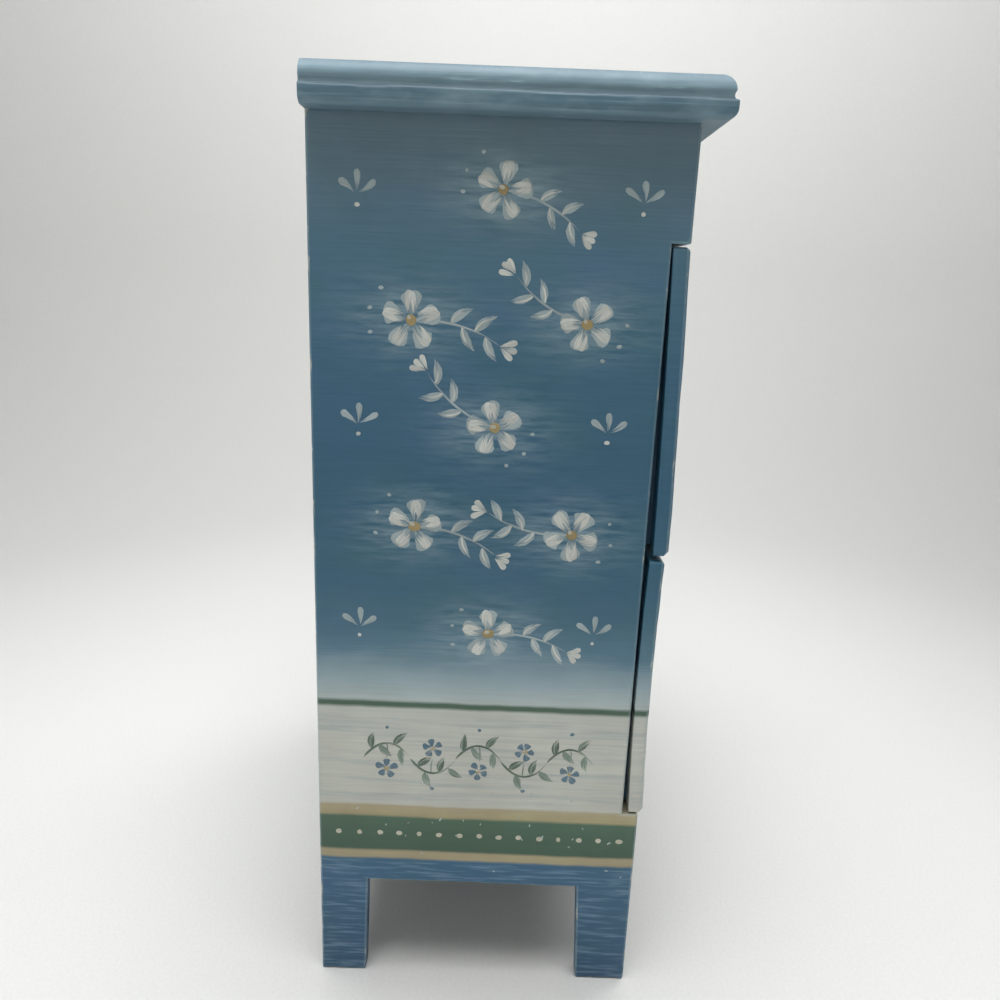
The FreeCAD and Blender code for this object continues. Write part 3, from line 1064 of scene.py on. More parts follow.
@dataclass(frozen=True)
class Brush:
    """A round brush: its paint spreads where it is set down, ridges along its way and thins at its end."""

    comma_head: float = 0.26
    finest: float = 0.02
    tremor: float = 0.22
    row_length: float = 0.9
    columns: int = 7
    ragged: float = 0.05
    thickness: float = 0.26
    ridge: float = 0.22
    run_out: float = 0.45
    thinnest: float = 0.03
    sunk: float = 0.09

    def half_widths(self, stroke: Stroke, share: Array) -> Array:
        """Gives half a stroke's width along its line.

        Args:
            stroke: The stroke.
            share: Places along the line, from 0 to 1.

        Returns:
            Half widths in millimetres.
        """
        if stroke.touch is Touch.COMMA:
            head = self.comma_head
            round_head = np.sqrt(np.clip(1 - ((share - head) / head) ** 2, 0, 1))
            tail = np.clip(1 - (share - head) / (1 - head), 0, 1) ** 0.8
            shape = np.where(share < head, round_head, tail)
        elif stroke.touch is Touch.LEAF:
            shape = np.sin(np.pi * share ** 0.8) ** 0.9
        elif stroke.touch is Touch.LINER:
            ends = np.minimum(share / 0.08, (1 - share) / 0.3)
            shape = np.minimum(1, ends) ** 0.6
        else:
            shape = np.sqrt(np.clip(1 - (2 * share - 1) ** 2, 0, 1))
        return np.maximum(shape * stroke.width / 2, self.finest)

    def line(self, stroke: Stroke, draw: np.random.Generator) -> tuple[Array, Array, Array, float]:
        """Follows a stroke's bent line with a small tremor of the hand.

        Args:
            stroke: The stroke.
            draw: The decoration's random draws.

        Returns:
            Shares along the line, its points, its direction at each, and its length.
        """
        jitter = draw.normal(0, self.tremor, (3, 2))
        a, b, c = np.array((stroke.start, stroke.bend, stroke.end)) + jitter
        length = np.linalg.norm(b - a) / 2 + np.linalg.norm(c - b) / 2 + np.linalg.norm(c - a) / 2
        rows = int(np.clip(length / self.row_length, 8, 30))
        share = (1 - np.cos(np.linspace(0, math.pi, rows))) / 2
        u = share[:, None]
        points = (1 - u) ** 2 * a + 2 * u * (1 - u) * b + u ** 2 * c
        way = 2 * (1 - u) * (b - a) + 2 * u * (c - b)
        way /= np.maximum(np.linalg.norm(way, axis=1), TINY)[:, None]
        return share, points, way, length

    def lift(self, stroke: Stroke, share: Array, half: Array, draw: np.random.Generator) -> Array:
        """Gives the height of the paint, with bristle ridges, and sinks its rim into the board.

        Args:
            stroke: The stroke.
            share: Places along its line, from 0 to 1.
            half: Half its width at each.
            draw: The decoration's random draws.

        Returns:
            Heights over the board, a row for each place.
        """
        across = np.linspace(-1, 1, self.columns)
        ridges = draw.uniform(-self.ridge, self.ridge, self.columns) + draw.normal(
            0, 0.06, (len(share), self.columns))
        fullness = np.clip(half / (stroke.width / 2), 0, 1)[:, None] ** 0.5
        section = 0.55 + 0.3 * across ** 2 + ridges
        lift = self.thickness * fullness * section * (1 - self.run_out * share[:, None])
        lift = np.where(abs(across) == 1, -self.sunk, np.maximum(lift, self.thinnest) + stroke.layer)
        lift[[0, -1]] = -self.sunk
        return lift

    def skin(self, rows: int, first: int) -> list:
        """Lists the faces of a closed daub.

        Args:
            rows: How many rows of points it has.
            first: Number of its first vertex.

        Returns:
            Vertex numbers of each face.
        """
        grid = first + np.arange(rows * self.columns).reshape(rows, self.columns)
        under = np.stack((grid[:-1, -1], grid[1:, -1], grid[1:, 0], grid[:-1, 0]), -1)
        return tiles(grid).tolist() + under.tolist() + [grid[0].tolist(), grid[-1, ::-1].tolist()]


@dataclass
class Decoration:
    """Brush strokes on one painted face, each a thin closed daub of paint that lies on the board."""

    name: str
    seed: int
    strokes: list[Stroke] = field(default_factory=list)
    haze_spots: list[tuple[float, float, float]] = field(default_factory=list)
    haze_height: float = 0.62
    stem_sweep: float = 0.18
    vine_period: float = 36.7
    vine_rise: float = 6.5

    def curl(self, at: Point, angle: float, daub: Daub, touch: Touch, pigment: Pigment,
             layer: float = 0.0) -> None:
        """Adds a stroke that leaves a point at an angle and sweeps round.

        Args:
            at: Its start on the face.
            angle: Its direction in radians.
            daub: Its size in millimetres.
            touch: How the brush is used.
            pigment: Its paint.
            layer: How high it lies on earlier strokes, in millimetres.
        """
        x, y = at
        length, width, sweep = daub
        along, up = math.cos(angle), math.sin(angle)
        bend = (x + along * length / 2 - up * sweep * length, y + up * length / 2 + along * sweep * length)
        end = (x + along * length, y + up * length)
        self.strokes.append(Stroke(at, bend, end, width, touch, pigment, layer))

    def dot(self, x: float, y: float, size: float, pigment: Pigment, layer: float = 0.0) -> None:
        """Adds a round dot made with the end of the brush handle."""
        self.curl((x - size / 2, y), 0.0, Daub(size, size), Touch.DOT, pigment, layer)

    def dots(self, low: float, high: float, level: float, step: float, size: float, pigment: Pigment) -> None:
        """Adds a level row of dots, one at each whole step from the middle of the face."""
        for place in range(math.ceil(low / step), math.floor(high / step) + 1):
            self.dot(place * step, level, size, pigment)

    def leaf(self, at: Point, angle: float, daub: Daub, pigment: Pigment, light: Pigment) -> None:
        """Adds a leaf with a lighter line along one side.

        Args:
            at: Its foot on the face.
            angle: Its direction in radians.
            daub: Its size in millimetres.
            pigment: Its paint.
            light: Paint of the line.
        """
        length, width, sweep = (whole * share for whole, share in zip(daub, Daub(0.8, 0.24, 1.7)))
        self.curl(at, angle, daub, Touch.LEAF, pigment)
        self.curl(at, angle + 0.06, Daub(length, width, sweep), Touch.LINER, light, layer=0.1)

    def specks(self, low: Point, high: Point, count: int) -> None:
        """Spatters small drops of paint over a part of the face.

        Args:
            low: Lower corner of that part.
            high: Upper corner.
            count: How many drops there are.
        """
        draw = np.random.default_rng(self.seed + SPECK_SEED)
        for x, y in draw.uniform(low, high, (count, 2)):
            size = draw.uniform(0.35, 0.9)
            self.curl((x, y), draw.uniform(0, WHOLE), Daub(size * draw.uniform(1, 2.2), size),
                      Touch.DOT, Pigment.PEARL)

    def tuft(self, x: float, y: float, way: int) -> None:
        """Adds three comma strokes that fan up from a dot.

        Args:
            x: Its middle along the face.
            y: Its middle up the face.
            way: 1 to paint from right to left, or -1.
        """
        for step in (-1, 0, 1):
            angle = QUARTER + way * 0.95 * step
            self.curl(away(x, y, angle, 8.0), angle + math.pi, Daub(7.4, 2.8, 0.1), Touch.COMMA,
                      Pigment.PEARL)
        self.dot(x, y - 3.2, 1.7, Pigment.WHITE)

    def flower(self, x: float, y: float, size: float, turn: float, petal: Pigment, petals: int = 5) -> None:
        """Adds a flower of comma petals round an ochre eye.

        Args:
            x: Its middle along the face.
            y: Its middle up the face.
            size: Its radius in millimetres.
            turn: Its rotation in radians.
            petal: Paint of the petals.
            petals: How many petals it has.
        """
        shade = Pigment.PEARL if petal is Pigment.WHITE else petal
        for step in range(petals):
            angle = turn + WHOLE * step / petals
            back = angle + math.pi
            self.curl(away(x, y, angle, size), back, Daub(0.9, 0.84, 0.1).times(size), Touch.COMMA, shade)
            if petal is Pigment.WHITE:
                inner = away(x, y, angle, size * 0.97)
                for turned in (-0.13, 0.15):
                    light = Daub(0.72, 0.36, 1.0).times(size, turned)
                    self.curl(inner, back + turned, light, Touch.COMMA, petal, layer=0.12)
        self.dot(x, y, size * 0.42, Pigment.OCHRE, layer=0.16)
        self.dot(x - size * 0.06, y + size * 0.08, size * 0.18, Pigment.CREAM, layer=0.3)

    def sprig(self, x: float, y: float, turn: float, size: float) -> None:
        """Adds a white flower on a bent stem with leaves, a bud, a few dots and a soft haze.

        Args:
            x: Middle of the flower along the face.
            y: Middle of the flower up the face.
            turn: Direction in which the stem runs, in radians.
            size: Length of the stem in millimetres.
        """
        self.curl((x, y), turn, Daub(size, 0.9, self.stem_sweep), Touch.LINER, Pigment.PEARL)
        along, up = math.cos(turn), math.sin(turn)
        for share, side in ((0.42, 1), (0.55, -1), (0.7, 1), (0.83, -1)):
            lift = 2 * self.stem_sweep * size * share * (1 - share)
            foot = (x + along * size * share - up * lift, y + up * size * share + along * lift)
            leaf = Daub(0.29, 0.115, 0.16).times(size, side)
            self.leaf(foot, turn + side * 0.85, leaf, Pigment.PEARL, Pigment.WHITE)
        tip, bud = away(x, y, turn, size), Daub(0.19, 0.085, 0.05).times(size)
        for spread in (-0.5, 0.0, 0.5):
            far = away(*tip, turn + spread, size * 0.2)
            self.curl(far, turn + spread + math.pi, bud, Touch.COMMA, Pigment.WHITE)
        self.flower(x, y, size * 0.32, turn + 0.6, Pigment.WHITE)
        for spread in (-0.55, 0.0, 0.55):
            self.dot(*away(x, y, turn + math.pi + spread, size * 0.46), 1.5, Pigment.PEARL)
        self.haze_spots.append((x, y, size * 0.62))

    def garland(self, low: float, high: float, level: float) -> None:
        """Adds a waving vine with leaves and small blue flowers.

        Args:
            low: Where it starts along the face.
            high: Where it ends.
            level: Height of its middle line.
        """
        half, rise = self.vine_period / 2, self.vine_rise
        for step in range(math.ceil(low / half), math.floor(high / half)):
            x, way = step * half, 1 if step % 2 else -1
            middle = x + half / 2
            self.strokes.append(Stroke((x, level), (middle, level + way * rise * 2), (x + half, level),
                                       1.0, Touch.LINER, Pigment.FOREST))
            for share, out in ((0.18, 1), (0.34, -1), (0.66, 1), (0.82, -1)):
                foot = (x + half * share, level + way * rise * 4 * share * (1 - share))
                turn = way * 0.7 * (0.5 - share) * 2 + out * 1.05
                pigment = Pigment.FOREST if out > 0 else Pigment.SAGE
                self.leaf(foot, turn, Daub(7.6, 3.3, 0.14 * out), pigment, Pigment.SAGE)
            self.flower(middle, level - way * rise * 0.75, 4.1, 0.3 * step, Pigment.BLUE)
            stalk = Daub(7.15, 0.6, 0.1)
            self.curl((middle, level + way * rise), -way * QUARTER, stalk, Touch.LINER, Pigment.SAGE)
            self.dot(middle, level + way * rise * 2.05, 1.7, Pigment.BLUE)

    def haze_at(self, s: Array, t: Array) -> Array:
        """Gives how strongly the soft scumble shows.

        Args:
            s: Places along the face.
            t: Places up the face.

        Returns:
            Strength from 0 to 1.
        """
        total = np.zeros(np.broadcast(s, t).shape)
        for x, y, reach in self.haze_spots:
            total = total + np.exp(-((s - x) / reach) ** 2 - ((t - y) / (reach * self.haze_height)) ** 2)
        return np.clip(total, 0, 1)

    def build(self, place: Placing, material: bpy.types.Material) -> bpy.types.Object:
        """Meshes every stroke.

        Args:
            place: Turns face coordinates and depth into points.
            material: The decorating paint.

        Returns:
            The piece.
        """
        brush = Brush()
        draw = np.random.default_rng(self.seed)
        across = np.linspace(-1, 1, brush.columns)
        points, faces, total = [], [], 0
        values = {name: [] for name in ("across", "along", "dry", "seed", "pigment")}
        for stroke in self.strokes:
            share, line, way, length = brush.line(stroke, draw)
            drawn_out = stroke.touch is not Touch.DOT
            ragged = 1 + draw.normal(0, brush.ragged, len(share)) * drawn_out
            half = brush.half_widths(stroke, share) * ragged
            s = line[:, :1] - way[:, 1:] * across * half[:, None]
            t = line[:, 1:] + way[:, :1] * across * half[:, None]
            lift = brush.lift(stroke, share, half, draw)
            points.append(place(s.ravel(), t.ravel(), -lift.ravel()))
            faces += brush.skin(len(share), total)
            values["across"].append((across * half[:, None]).ravel())
            values["along"].append(np.repeat(share * length, brush.columns))
            values["dry"].append(np.repeat(share * drawn_out, brush.columns))
            values["seed"].append(np.full(s.size, draw.uniform(0, 90)))
            tone = np.array((*[draw.uniform(0.86, 1.08)] * 3, 1.0))
            values["pigment"].append(np.tile(np.array(linear(stroke.pigment.value)) * tone, (s.size, 1)))
            total += s.size
        joined = {name: np.concatenate(parts) for name, parts in values.items()}
        return mesh_piece(self.name, np.concatenate(points), faces, material, joined, sharp=80.0)


@dataclass
class PaintedBoard(ABC):
    """A painted board with its decoration."""

    name: str
    body: str
    slot: str
    seed: int
    arris: float = 0.7
    inner_arris: float = 0.4
    pitch: float = 1.25
    garland_level: float = 104.0
    bead_level: float = 68.8
    bead_spacing: float = 8.2
    bead: float = 2.5
    bare_reach: float = 0.5
    least_wear: float = 0.1
    most_wear: float = 0.5
    deepest_chip: float = 1.2

    def __post_init__(self) -> None:
        """Draws the board's own unevenness and wear."""
        self.unevenness = Unevenness(self.seed, 0.09, 9.0, 70.0)
        self.rubbing = Unevenness(self.seed + RUBBING_SEED, 0.16, 5.0, 40.0)
        self.decoration = Decoration(self.name + "_decoration", self.seed + DECORATION_SEED)
        self.chips: list[tuple[float, float, float, float]] = []

    @abstractmethod
    def rectangles(self) -> list[Rectangle]:
        """Gives the outline as rectangles that join."""

    @abstractmethod
    def place(self, s: Array, t: Array, depth: Array) -> Array:
        """Turns plane coordinates and a depth into points of the frame."""

    @abstractmethod
    def thickness_at(self, s: Array, t: Array) -> Array:
        """Gives the board's thickness at points of its plane."""

    @abstractmethod
    def bare_at(self, s: Array, t: Array, depth: Array) -> Array:
        """Gives where the wood was left bare, as shares from 0 to 1."""

    def wear(self, s: Array, t: Array) -> Array:
        """Gives how far the arris is worn down.

        Args:
            s: Places along the board.
            t: Places up the board.

        Returns:
            Wear in millimetres.
        """
        worn = np.clip(self.rubbing.at(s, t) + self.least_wear, 0, self.most_wear)
        for x, y, reach, deep in self.chips:
            worn = worn + deep * np.exp(-(((s - x) ** 2 + (t - y) ** 2) / reach ** 2))
        return np.minimum(worn, self.arris * self.deepest_chip)

    def grid(self) -> BoardGrid:
        """Sets up the board's mesh."""
        return BoardGrid(self.rectangles(), self.thickness_at, self.arris, self.inner_arris, self.pitch,
                         self.wear)

    def beads(self, low: float, high: float) -> None:
        """Adds the row of cream dots that runs round the chest."""
        self.decoration.dots(low, high, self.bead_level, self.bead_spacing, self.bead, Pigment.CREAM)

    @abstractmethod
    def decorate(self) -> None:
        """Adds the board's brush strokes and the chips in its arrises."""

    def on_face(self, s: Array, t: Array, depth: Array) -> Array:
        """Places strokes on the uneven face."""
        return self.place(s, t, depth - self.unevenness.at(s, t))

    def build(self) -> None:
        """Makes the board and its decoration."""
        self.decorate()
        s, t, depth, edge, faces = self.grid().build()
        flat = np.clip(1 - depth / self.arris, 0, 1)
        points = self.place(s, t, depth - self.unevenness.at(s, t) * flat)
        haze, bare = self.decoration.haze_at(s, t) * flat, self.bare_at(s, t, depth)
        values = {"edge": edge, "haze": haze, "bare": bare}
        board = mesh_piece(self.name, points, faces, BOARD_PAINT, values)
        settle(board, self.body, self.slot, self.name.removesuffix("_painted"))
        settle(self.decoration.build(self.on_face, STROKE_PAINT), self.body, self.slot)


@dataclass
class SidePanel(PaintedBoard):
    """A side of the carcass: two legs, a notch for the drawer fronts and a rebate for the back panel."""

    side: Side = Side.LEFT
    rear_leg_foot: float = 18.6
    rear_leg_top: float = 19.8
    front_leg_foot: float = 20.7
    front_leg_top: float = 22.8
    leg_lap: float = 1.0
    back_thickness: float = 3.0
    rebate_width: float = 3.5
    step: float = 0.02
    lap_under_top: float = 0.9
    edge_paint: float = 2.0
    painted_up: float = 5.0
    margin: float = 4.0
    lowest_row: float = 160.0
    row_spacing: float = 39.0
    rows: tuple[tuple[tuple[float, int], ...], ...] = (
        ((0.5, 1),), ((0.27, 1), (0.74, -1)), ((0.5, -1),), ((0.27, 1), (0.74, -1)), ((0.5, 1),))
    sprig_turn: float = -0.35
    sprig_size: float = 30.0
    tuft_inset: float = 17.0
    speck_levels: Point = (50.0, 92.0)

    def __post_init__(self) -> None:
        """Reads the panel's sizes from the frame."""
        super().__post_init__()
        panel = Extent.of("side_panel_" + self.side.name.lower())
        apron, frieze = Extent.of("front_apron"), Extent.of("frieze_board")
        self.depth = panel.size[1]
        self.thickness = panel.size[0]
        self.height = panel.high[2]
        self.rear = panel.high[1]
        self.outer = panel.low[0] if self.side is Side.LEFT else panel.high[0]
        self.arch_height = apron.low[2]
        self.base_height = apron.high[2]
        self.frieze_bottom = frieze.low[2]
        self.rail_plane = self.depth - apron.size[1]

    def rectangles(self) -> list[Rectangle]:
        """Gives the legs, the body, the base and the frieze part."""
        top, leg = self.height + self.lap_under_top, self.arch_height + self.leg_lap
        return [
            (0.0, self.rear_leg_top, 0.0, leg),
            (self.depth - self.front_leg_top, self.depth, 0.0, leg),
            (0.0, self.rail_plane, self.arch_height, top),
            (0.0, self.depth, self.arch_height, self.base_height),
            (0.0, self.depth, self.frieze_bottom, top),
        ]

    def thickness_at(self, s: Array, t: Array) -> Array:
        """Gives the thickness, less in the rebate."""
        in_rebate = (s < self.back_thickness + self.step / 2) & (t > self.arch_height - self.step / 2)
        return np.where(in_rebate, self.thickness - self.rebate_width, self.thickness)

    def grid(self) -> BoardGrid:
        """Adds the lines of the rebate to the mesh.

        Returns:
            The mesh of the board.
        """
        made = super().grid()
        made.extra_s = (self.back_thickness, self.back_thickness + self.step)
        made.extra_t = (self.arch_height - self.step, self.arch_height)
        return made

    def place(self, s: Array, t: Array, depth: Array) -> Array:
        """Tapers the legs and stands the panel at its end of the chest.

        Args:
            s: Places from the rear edge to the front one.
            t: Heights.
            depth: Depth below the outer face.

        Returns:
            Points of the frame.
        """
        low = np.clip(1 - t / self.arch_height, 0, 1)
        rear_share = np.clip(s / self.rear_leg_top, 0, 1) * (s < self.depth / 2)
        front_share = np.clip((self.depth - s) / self.front_leg_top, 0, 1) * (s > self.depth / 2)
        s = s - (self.rear_leg_top - self.rear_leg_foot) * low * rear_share
        s = s + (self.front_leg_top - self.front_leg_foot) * low * front_share
        x = self.outer - self.side.value * depth
        return np.stack((x, self.rear - s, t), 1)

    def bare_at(self, s: Array, t: Array, depth: Array) -> Array:
        """Leaves the inner face bare above the bottom board, up to the paint of the front edge.

        Args:
            s: Places from the rear edge to the front one.
            t: Heights.
            depth: Depth below the outer face.

        Returns:
            Bareness from 0 to 1.
        """
        front = np.where((t > self.base_height) & (t < self.frieze_bottom), self.rail_plane, self.depth)
        above = t > self.base_height - self.painted_up
        return (depth > self.thickness - self.bare_reach) * above * (s < front - self.edge_paint) * 1.0

    def decorate(self) -> None:
        """Adds sprigs in staggered rows with tufts beside them, the garland, the dots and the chips."""
        paint = self.decoration
        draw = np.random.default_rng(self.seed + SPRIG_SEED)
        along, up = 2.0, 1.5
        for row, places in enumerate(self.rows):
            level = self.lowest_row + self.row_spacing * row
            for place, way in places:
                x = self.depth * place + draw.normal(0, along)
                turn = self.sprig_turn + draw.normal(0, 0.18) + (math.pi if way < 0 else 0.0)
                y = level + draw.normal(0, up)
                paint.sprig(x, y, turn, self.sprig_size + draw.normal(0, 1.5))
            if len(places) == 1:
                notched = self.base_height < level < self.frieze_bottom
                paint.tuft(self.tuft_inset, level, 1)
                paint.tuft((self.rail_plane if notched else self.depth) - self.tuft_inset, level, -1)
        low, high = self.margin, self.depth - self.margin
        paint.garland(low, self.rail_plane - self.margin, self.garland_level)
        self.beads(low, high)
        paint.specks((low, self.speck_levels[0]), (high, self.speck_levels[1]), 26)
        self.chips = [
            (self.rail_plane, 88.0, 2.4, 0.6), (self.depth, 60.0, 1.8, 0.5), (self.depth, 312.0, 2.0, 0.5),
            (0.0, 30.0, 2.0, 0.6), (0.0, 205.0, 1.5, 0.4), (self.depth, 4.0, 2.5, 0.6), (8.0, 0.0, 2.5, 0.6),
            (self.depth - self.front_leg_top, 20.0, 1.8, 0.5)]


@dataclass
class Rail(PaintedBoard):
    """A painted board between the sides, level with their front edges."""

    arris: float = 0.5
    inner_arris: float = 0.3
    side_lap: float = 0.25

    def __post_init__(self) -> None:
        """Reads the rail's box from the frame."""
        super().__post_init__()
        self.box = Extent.of(self.name.removesuffix("_painted"))

    def rectangles(self) -> list[Rectangle]:
        """Gives the rail's outline, let a little into the sides."""
        low, high = self.box.low, self.box.high
        return [(low[0] - self.side_lap, high[0] + self.side_lap, low[2], high[2] + self.top_lap())]

    def top_lap(self) -> float:
        """Gives how far the rail runs up behind the top board."""
        return 0.0

    def thickness_at(self, s: Array, t: Array) -> Array:
        """Gives the rail's thickness."""
        return np.full(np.shape(s), self.box.size[1])

    def place(self, s: Array, t: Array, depth: Array) -> Array:
        """Stands the rail in the front of the chest."""
        return np.stack((s, self.box.low[1] + depth, t), 1)

    def bare_at(self, s: Array, t: Array, depth: Array) -> Array:
        """Leaves the back of the rail bare."""
        return (depth > self.box.size[1] - self.bare_reach) * 1.0


@dataclass
class Apron(Rail):
    """The board under the lower drawer, with the row of dots."""

    margin: float = 3.0

    def decorate(self) -> None:
        """Adds the row of dots, and chips along the lower edge."""
        low, high = self.box.low, self.box.high
        self.beads(low[0] + self.margin, high[0] - self.margin)
        self.chips = [(40.0, low[2], 2.0, 0.5), (-75.0, low[2], 1.6, 0.4)]


@dataclass
class Frieze(Rail):
    """The board over the upper drawer, with a flower between long paired leaves."""

    petals: int = 6
    flower: float = 8.0
    haze: float = 22.0
    pairs: int = 4
    first_pair: float = 12.0
    pair_spacing: float = 17.0
    leaf: Daub = Daub(15.0, 3.4, 0.15)
    leaf_turn: float = 0.42
    dot: float = 2.0
    dot_shift: float = 16.0

    def top_lap(self) -> float:
        """Gives how far the board runs up behind the top."""
        return self.arris

    def decorate(self) -> None:
        """Adds the flower and the leaves on both sides of it."""
        paint, level = self.decoration, self.box.middle[2]
        paint.flower(0.0, level, self.flower, QUARTER, Pigment.WHITE, self.petals)
        paint.haze_spots.append((0.0, level, self.haze))
        for way in (-1, 1):
            heading = 0.0 if way > 0 else math.pi
            for step in range(self.pairs):
                foot = way * (self.first_pair + self.pair_spacing * step)
                size = self.leaf.length - 1.5 * step
                reach = way * size * 0.9 * math.cos(self.leaf_turn)
                for lift in (-1, 1):
                    width = self.leaf.width - 0.3 * step
                    leaf = Daub(size, width, way * lift * self.leaf.sweep)
                    paint.curl((foot + reach, level + lift * size * self.leaf_turn),
                               heading + way * lift * self.leaf_turn + math.pi, leaf, Touch.COMMA,
                               Pigment.PEARL if lift > 0 else Pigment.WHITE)
                paint.dot(foot + way * self.dot_shift, level, self.dot, Pigment.WHITE)


@dataclass
class DrawerFront(PaintedBoard):
    """A warped drawer front that overlays the carcass, with rounded arrises and a spray beside its knob."""

    arris: float = 1.8
    warp: Warp = Warp(0.0, 0.0, 0.0)
    thickness: float = 6.0
    painted_margin: float = 13.0
    margin_fade: float = 4.0
    bare_reach: float = 0.3
    sprig_place: Point = (46.0, 6.0)
    sprig_turn: float = 0.3
    sprig_size: float = 38.0
    spray_rise: float = 0.0
    spray_share: float = 1.0
    fan_strokes: int = 4
    fan_place: float = 17.0
    fan_reach: Point = (7.0, 12.0)
    fan_petal: Daub = Daub(7.0, 2.6, 0.12)

    def __post_init__(self) -> None:
        """Reads the front's box and the plane that it stands off from."""
        super().__post_init__()
        self.box = Extent.of(self.name.removesuffix("_painted"))
        self.rail_front = float(Extent.of("front_apron").high[1])

    def rectangles(self) -> list[Rectangle]:
        """Gives the front's outline."""
        low, high = self.box.low, self.box.high
        return [(low[0], high[0], low[2], high[2])]

    def thickness_at(self, s: Array, t: Array) -> Array:
        """Gives the front's thickness."""
        return np.full(np.shape(s), self.thickness)

    def outer_face(self, t: Array) -> Array:
        """Gives the Y of the bowed outer face.

        Args:
            t: Heights in millimetres.

        Returns:
            Y at each height, in millimetres.
        """
        share = (t - self.box.low[2]) / self.box.size[2]
        bottom, middle, top = self.warp
        bow = bottom + (4 * middle - 3 * bottom - top) * share + 2 * (bottom + top - 2 * middle) * share ** 2
        return self.rail_front - bow - self.thickness

    def lean(self) -> float:
        """Gives the angle of the front's chord from upright."""
        return math.atan2(self.warp.bottom - self.warp.top, self.box.size[2])

    def place(self, s: Array, t: Array, depth: Array) -> Array:
        """Bends the front to its warp."""
        return np.stack((s, self.outer_face(t) + depth, t), 1)

    def bare_at(self, s: Array, t: Array, depth: Array) -> Array:
        """Leaves the back bare inside a painted margin.

        Args:
            s: Places along the front.
            t: Heights.
            depth: Depth below the outer face.

        Returns:
            Bareness from 0 to 1.
        """
        low, high = self.box.low, self.box.high
        within = np.minimum(np.minimum(s - low[0], high[0] - s), np.minimum(t - low[2], high[2] - t))
        bare = np.clip((within - self.painted_margin) / self.margin_fade, 0, 1)
        return (depth > self.thickness - self.bare_reach) * bare

    def spray(self, way: int) -> None:
        """Adds the sprig beside the knob.

        Args:
            way: 1 for the right side, or -1.
        """
        out, up = self.sprig_place
        level = self.box.middle[2] + self.spray_rise + up * self.spray_share
        turn = (0.0 if way > 0 else math.pi) - way * self.sprig_turn
        self.decoration.sprig(way * out, level, turn, self.sprig_size * self.spray_share)

    def fan(self, way: int) -> None:
        """Adds the comma strokes that fan out on one side of the knob.

        Args:
            way: 1 for the right side, or -1.
        """
        along, up = self.fan_reach
        for step in range(self.fan_strokes):
            angle = way * (0.35 + 0.38 * step) + QUARTER - way * 0.2
            foot = (way * self.fan_place + math.cos(angle) * along, self.box.middle[2] + math.sin(angle) * up)
            self.decoration.curl(foot, angle, self.fan_petal.times(1.0, way), Touch.COMMA, Pigment.PEARL)

    def decorate(self) -> None:
        """Adds the sprays and fans, and the chips at the edges."""
        low, high, middle = self.box.low, self.box.high, self.box.middle[2]
        for way in (-1, 1):
            self.spray(way)
            self.fan(way)
        self.chips = [
            (low[0], low[2], 2.6, 0.8), (high[0], high[2], 2.0, 0.6), (35.0, low[2], 1.6, 0.5),
            (low[0], middle - 20, 1.8, 0.5), (high[0], middle + 12, 1.6, 0.5)]


@dataclass
class LowerFront(DrawerFront):
    """The lower front: smaller sprays over the garland, which runs on from the sides."""

    spray_rise: float = 22.0
    spray_share: float = 0.8
    margin: float = 4.0

    def decorate(self) -> None:
        """Adds the garland after the sprays."""
        super().decorate()
        low, high = self.box.low[0] + self.margin, self.box.high[0] - self.margin
        self.decoration.garland(low, high, self.garland_level)


@dataclass
class UpperFront(DrawerFront):
    """The upper front: each spray has two small sprigs beyond it."""

    def spray(self, way: int) -> None:
        """Adds the small sprigs to the spray.

        Args:
            way: 1 for the right side, or -1.
        """
        super().spray(way)
        out, up = 74.0, 31.0
        for lift in (-1, 1):
            turn = (0.0 if way > 0 else math.pi) + way * lift * 2.6
            self.decoration.sprig(way * out, self.box.middle[2] + lift * up, turn, 22.0)


